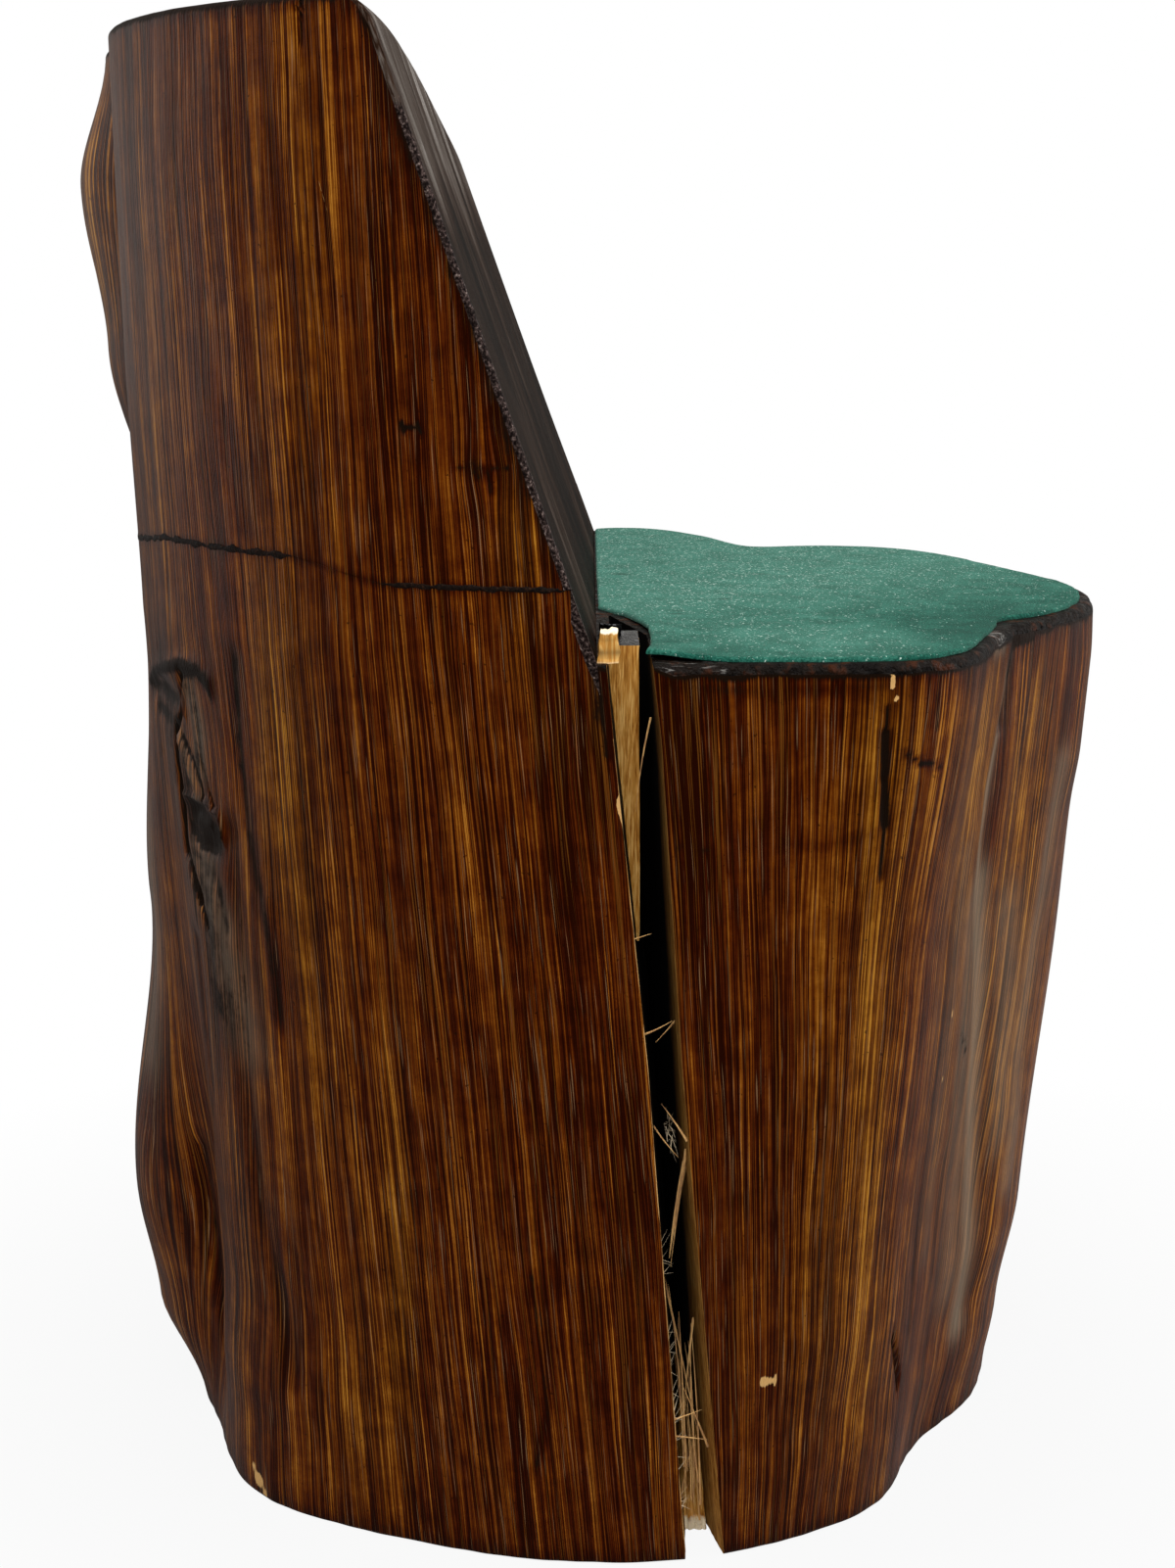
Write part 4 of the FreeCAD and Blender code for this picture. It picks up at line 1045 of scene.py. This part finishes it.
def make_sliver():
    """A pale spike against the crack's left wall: square at the top, drawn out to a point below,
    with a flat cut top that still carries its black lacquer, drawn grey with painted glints."""
    top_width, tip_width, depth, top_rise = 14.0, 1.2, 45.0, 4.5
    place, faces, shares = block(
        sliver_low, sliver_high + np.array([0, 0, top_rise]), (18, 9, 60), 0.25, 81)
    u, v, w = shares.T
    z = place[:, 2]
    width = tip_width + (top_width - tip_width) * w ** 0.9
    place[:, 1] = crack_at(z)[0] - 0.3 - width * (1 - v) \
        - 0.35 * np.abs(rough(place[:, 0] / 3, z / 22, 85)) * (v < 0.5)
    place[:, 0] = 36.0 - mean_radius(z) + depth * (0.1 + 0.9 * w) * u \
        + 0.4 * rough(place[:, 1] / 2, z / 18, 86)
    top = [int(np.all(w[face] > 0.999)) for face in faces]
    piece = make_piece("crack_spike", place, faces, [RAW, FILM], top)
    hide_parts("crack_sliver")


def make_chunk():
    """A broken corner of the ledge: an uneven block, full at its foot and drawn in above it,
    and notched half way."""
    place, faces, shares = block(
        chunk_low, chunk_high, (11, 11, 18), 0.55, 91,
        lambda w: np.stack([0.95 - 0.1 * w, 1 - 0.22 * np.clip(w * 2, 0, 1)], -1))
    _, v, w = shares.T
    place[:, 1] += 1.6 * hump(w - 0.45, 0.24) * (v - 0.9) - 1.4 * np.clip(w - 0.75, 0, 1)
    place[:, 2] += w * (1.1 * rough(place[:, 1] / 1.2, place[:, 0] / 2, 97) - 0.6)
    black = 0.45 * np.abs(rough(place[:, 0] / 2, place[:, 2] / 2.5, 98)) + 0.3 * (w < 0.95) \
        - 1.1 * (w > 0.97) - 0.7 * np.exp(-w * 9)
    piece = make_piece("broken_chunk", place, faces, [RAW], values={"black": black})
    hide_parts("lip_chunk")


def make_flake():
    """A thin strip of lacquer: level on the ledge, then curling up towards the bark, with a
    ragged width and a slight roll across."""
    along, across = np.linspace(0, 1, 40)[:, None], np.linspace(0, 1, 14)[None, :]
    curl_rise, thick = 8.4, 0.5
    x = flake_high[0] - 1.0 - along * (flake_high[0] - flake_low[0] - 2.0) + 0 * across
    ragged = 0.6 * rough(along * 14, 0 * along, 95)
    y = flake_low[1] + 0.8 + (flake_high[1] - flake_low[1] - 1.4) * across + ragged * (across - 0.5)
    curl = curl_rise * np.clip((along - 0.45) / 0.55, 0, 1) ** 1.7
    z = seat_z + 0.35 + curl + 1.1 * (across - 0.4) ** 2 + 0.25 * rough(along * 9, across * 4, 96)
    lower, upper = np.stack([x, y, z], -1), np.stack([x, y, z + thick], -1)
    loop = np.concatenate([lower, upper[:, ::-1]], 1)
    piece = make_piece("lacquer_curl", loop.reshape(-1, 3), tube(*loop.shape[:2]), [FILM])
    recalculate(piece)
    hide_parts("lacquer_flake")


def crack_place(shares):
    """Points in the crack by shares of height, of the way in, and of the way across."""
    z = shares[:, 0] * seat_z
    lip, mouth, knee = crack_at(z)
    x = (crack_knee_x + mean_radius(z)) * shares[:, 1] - mean_radius(z)
    return np.stack([x, lip - (mouth + (knee - mouth) * shares[:, 1]) * shares[:, 2], z], -1)


def make_splinters():
    """Needles with six sides that taper from root to point along a slight bow: the larger ones
    of the table and many finer fibres at seeded places."""
    rng = np.random.default_rng(7)
    rings, sides = 8, 6
    needles = list(SPLINTERS)
    # short whiskers on the left lip, upright needles low in the crack, then a tuft half way up
    for _ in range(40):
        height, deep = rng.uniform(0.06, 0.4), rng.uniform(0.015, 0.1)
        tip = (height + rng.uniform(-0.006, 0.022), max(deep - rng.uniform(0, 0.03), 0.01),
               rng.uniform(0.08, 0.3))
        needles.append(((height, deep, 0.0), tip, rng.uniform(0.06, 0.11)))
    for _ in range(16):
        height, deep, side = rng.uniform(0.012, 0.1), rng.uniform(0.3, 0.62), rng.uniform(0.12, 0.8)
        tip = (height + rng.uniform(0.08, 0.22), deep - rng.uniform(0, 0.1),
               np.clip(side + rng.uniform(-0.12, 0.25), 0.1, 0.9))
        needles.append(((height, deep, side), tip, rng.uniform(0.3, 0.62)))
    for _ in range(26):
        height, deep, side = 0.497 + rng.uniform(-0.018, 0.018), 0.2, rng.uniform(0.4, 0.62)
        tip = (height + rng.uniform(-0.026, 0.03), deep - rng.uniform(0, 0.12),
               np.clip(side + rng.uniform(-0.16, 0.2), 0.05, 0.95))
        needles.append(((height, deep, side), tip, rng.uniform(0.06, 0.1)))
    root, point = (crack_place(np.array(ends)) for ends in list(zip(*needles))[:2])
    radius = np.array([needle[2] for needle in needles])
    run = point - root
    length = np.linalg.norm(run, axis=1, keepdims=True)
    side_way = np.cross(run, np.array([1.0, 0.3, 0.2]))
    side_way /= np.linalg.norm(side_way, axis=1, keepdims=True)
    up_way = np.cross(run, side_way) / length
    t = np.linspace(0, 1, rings)[:, None]
    bow = rng.uniform(-0.025, 0.025, (len(needles), 2))
    bowed = (side_way * bow[:, :1] + up_way * bow[:, 1:]) * length
    path = root[:, None] + run[:, None] * t + bowed[:, None] * t * (1 - t) * 4
    thick = radius[:, None, None, None] * (1 - 0.86 * t[..., None])
    turn = np.linspace(0, 2 * np.pi, sides, endpoint=False)[:, None]
    around = side_way[:, None, None] * np.cos(turn) + up_way[:, None, None] * np.sin(turn) * 0.7
    points = path[:, :, None] + around * thick
    per = rings * sides
    faces = sum((tube(rings, sides, number * per) for number in range(len(needles))), [])
    # the splinters are whitened, the finest most, as painted light in the dark crack
    black = np.repeat(np.where(radius < 0.2, -0.8, -0.15), per)
    piece = make_piece("torn_splinters", points.reshape(-1, 3), faces, [RAW],
                       values={"black": black})
    recalculate(piece)
    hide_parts("crack_splinters")


def make_ledge():
    """The torn wood that closes the crack near the floor, 36 mm in from the bark: a slat between
    the crack's walls whose top runs up into ragged points, and whose foot, broken to pale wood,
    juts outwards and is whitened further as painted light."""
    front_x, back_x, reach = -174.0, -151.0, 92.0
    _, faces, shares = block(np.zeros(3), np.ones(3), (8, 26, 40), 0.0, 111)
    u, v, w = shares.T
    spikes = 0.35 + 0.65 * np.abs(rough(v * 9, 0 * v, 112)) * (1 - 0.4 * u)
    z = 0.6 + reach * np.clip(spikes, 0, 1) * w
    x = front_x + (back_x - front_x) * u + (1.2 * rough(v * 14, w * 3, 113) + 5 * w) * (1 - u)
    lip, mouth, knee = crack_at(z)
    share = (x + mean_radius(z)) / (crack_knee_x + mean_radius(z))
    y = lip + 0.6 - (mouth + (knee - mouth) * share + 0.6) * v
    x = x - 4.0 * np.clip(1 - (z - 3.5) / 1.5, 0, 1) * (1 - u)
    # the foot is whitened as painted light; above it the slat darkens towards its top as painted
    # shade
    black = np.where(z < 5, -0.9, 0.1 + 0.5 * w)
    piece = make_piece("torn_ledge", np.stack([x, y, z], -1), faces, [RAW],
                       values={"black": black})
    recalculate(piece)


def make_filler(name, node, first, last, half_height, seed):
    """A ragged cord of filler along the joint between two angles: its cross-section is a flat
    oval half sunk in the saw cut, and its height and stand-out vary along it."""
    angle = np.arange(first, last, 0.22)[:, None]
    turned, flat = np.radians(angle), 0 * angle
    turn = np.linspace(0, 2 * np.pi, 12, endpoint=False)[None, :]
    ends = np.clip(np.minimum(angle - first, last - angle) / 2.0, 0.05, 1)
    tall = half_height * ends * (1 + 0.55 * rough(turned * 90, flat, seed))
    out = 0.28 + 0.22 * rough(turned * 60, flat, seed + 1)
    base = joint_height(-bark_radius(angle, joint_z + flat) * np.sin(turned))
    z = base + 0.5 * rough(turned * 70, flat, seed + 2) \
        + np.sin(turn) * tall * (1 + 0.25 * rough(turned * 200, turn * 2, seed + 3))
    z = np.clip(z, joint_z - 3, None)
    angle = angle + 0 * turn
    reach = bark_radius(angle, z) + np.cos(turn) * np.where(np.cos(turn) > 0, out, 2.2)
    piece = make_piece(name, ring_point(angle, z, reach).reshape(-1, 3), tube(*z.shape), [FILLER],
                       sharp=60)
    recalculate(piece)
    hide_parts(node)


make_stump()
make_back()
make_felt()
make_sliver()
make_chunk()
make_flake()
make_splinters()
make_ledge()
make_filler("filler_near", "seam_filler_side", -24.6, -4.2, 1.15, 101)
make_filler("filler_rear", "seam_filler_rear", -103.0, -35.8, 1.35, 111)
for number in (1, 2, 3):
    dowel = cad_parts[f"back_dowel_{number}"]
    dowel.data.materials.clear()
    dowel.data.materials.append(DOWEL)


# Floor, light and camera
def make_floor():
    """A round level floor, pale under the object and plain white to the camera far from it."""
    corners, reach_m, drop_m = 96, 9, 0.0004
    turn = np.linspace(0, 2 * np.pi, corners, endpoint=False)
    points = np.stack([reach_m * np.cos(turn), reach_m * np.sin(turn), 0 * turn - drop_m], -1)
    mesh = bpy.data.meshes.new("studio_floor")
    mesh.from_pydata(points.tolist(), [], [list(range(corners))])
    material, tree, place = new_material("matt_white_floor")
    shader = tree.nodes["Principled BSDF"]
    fill_inputs(tree, shader, {
        "Base Color": "#8c8c8c", "Roughness": 0.9, "Specular IOR Level": 0.1})
    seen = add(tree, "ShaderNodeLightPath", {}).outputs["Is Camera Ray"]
    white = add(tree, "ShaderNodeEmission", {"Color": (1, 1, 1, 1), "Strength": 1.0}).outputs[0]
    distance = add(tree, "ShaderNodeVectorMath", {0: place}, operation="LENGTH").outputs["Value"]
    mostly = product(tree, seen, remap(tree, distance, 0.24, 0.6, 0.92, 1.0))
    mix = add(tree, "ShaderNodeMixShader", {0: mostly, 1: shader.outputs[0], 2: white}).outputs[0]
    tree.links.new(mix, tree.nodes["Material Output"].inputs["Surface"])
    mesh.materials.append(material)
    floor = put("studio_floor", mesh)


def make_world():
    """White to the camera alone, and a soft even sky that lights the object."""
    world = bpy.data.worlds.new("studio")
    bpy.context.scene.world = world
    world.use_nodes = True
    tree = world.node_tree
    seen = add(tree, "ShaderNodeLightPath", {}).outputs["Is Camera Ray"]
    sky = add(tree, "ShaderNodeBackground", {"Color": "#f6f2ec", "Strength": 0.42})
    white = add(tree, "ShaderNodeBackground", {"Color": (1, 1, 1, 1), "Strength": 1.0})
    mix = add(tree, "ShaderNodeMixShader", {0: seen, 1: sky.outputs[0], 2: white.outputs[0]})
    tree.links.new(mix.outputs[0], tree.nodes["World Output"].inputs["Surface"])
    tree.nodes.remove(tree.nodes["Background"])


def add_softbox(name, place, aim, size, power):
    """A rectangular soft lamp at a place, turned to a point."""
    lamp = bpy.data.lights.new(name, "AREA")
    lamp.shape, lamp.size, lamp.size_y, lamp.energy = "RECTANGLE", *size, power
    item = put(name, lamp)
    item.location = place
    way = np.array(aim) - np.array(place)
    yaw, pitch = math.atan2(way[1], way[0]), math.atan2(way[2], math.hypot(way[0], way[1]))
    item.rotation_euler = (math.pi / 2 + pitch, 0, yaw - math.pi / 2)


def add_camera():
    """The photograph's view from the sitter's right: 1.2445 m from the pith, 0.579 m up, tilted
    11.7 degrees down, with a lens fitted to the outlines of the seat, joint and crest."""
    picture_height, focal_length, tilt = 1601, 2526, 11.70
    lens = bpy.data.cameras.new("camera")
    lens.sensor_width, lens.lens = 36.0, 36.0 * focal_length / picture_height
    camera = put("camera", lens)
    camera.location = (-1.2445, 0.012, 0.5789)
    camera.rotation_euler = (math.radians(90 - tilt), 0, math.radians(-90))
    bpy.context.scene.camera = camera


make_floor()
make_world()
add_softbox("overhead", (-0.8, -0.3, 2.5), (0, 0, 0.4), (2.0, 2.0), 72)
add_softbox("side_left", (1.1, 2.0, 0.7), (0, 0, 0.4), (1.0, 2.0), 8)
add_softbox("side_right", (0.4, -2.5, 0.8), (0, 0, 0.4), (1.6, 2.0), 44)
add_softbox("front", (-2.9, 0.25, 1.7), (0, 0, 0.35), (1.6, 1.6), 36)
add_camera()
bpy.context.scene.view_settings.view_transform = "Standard"
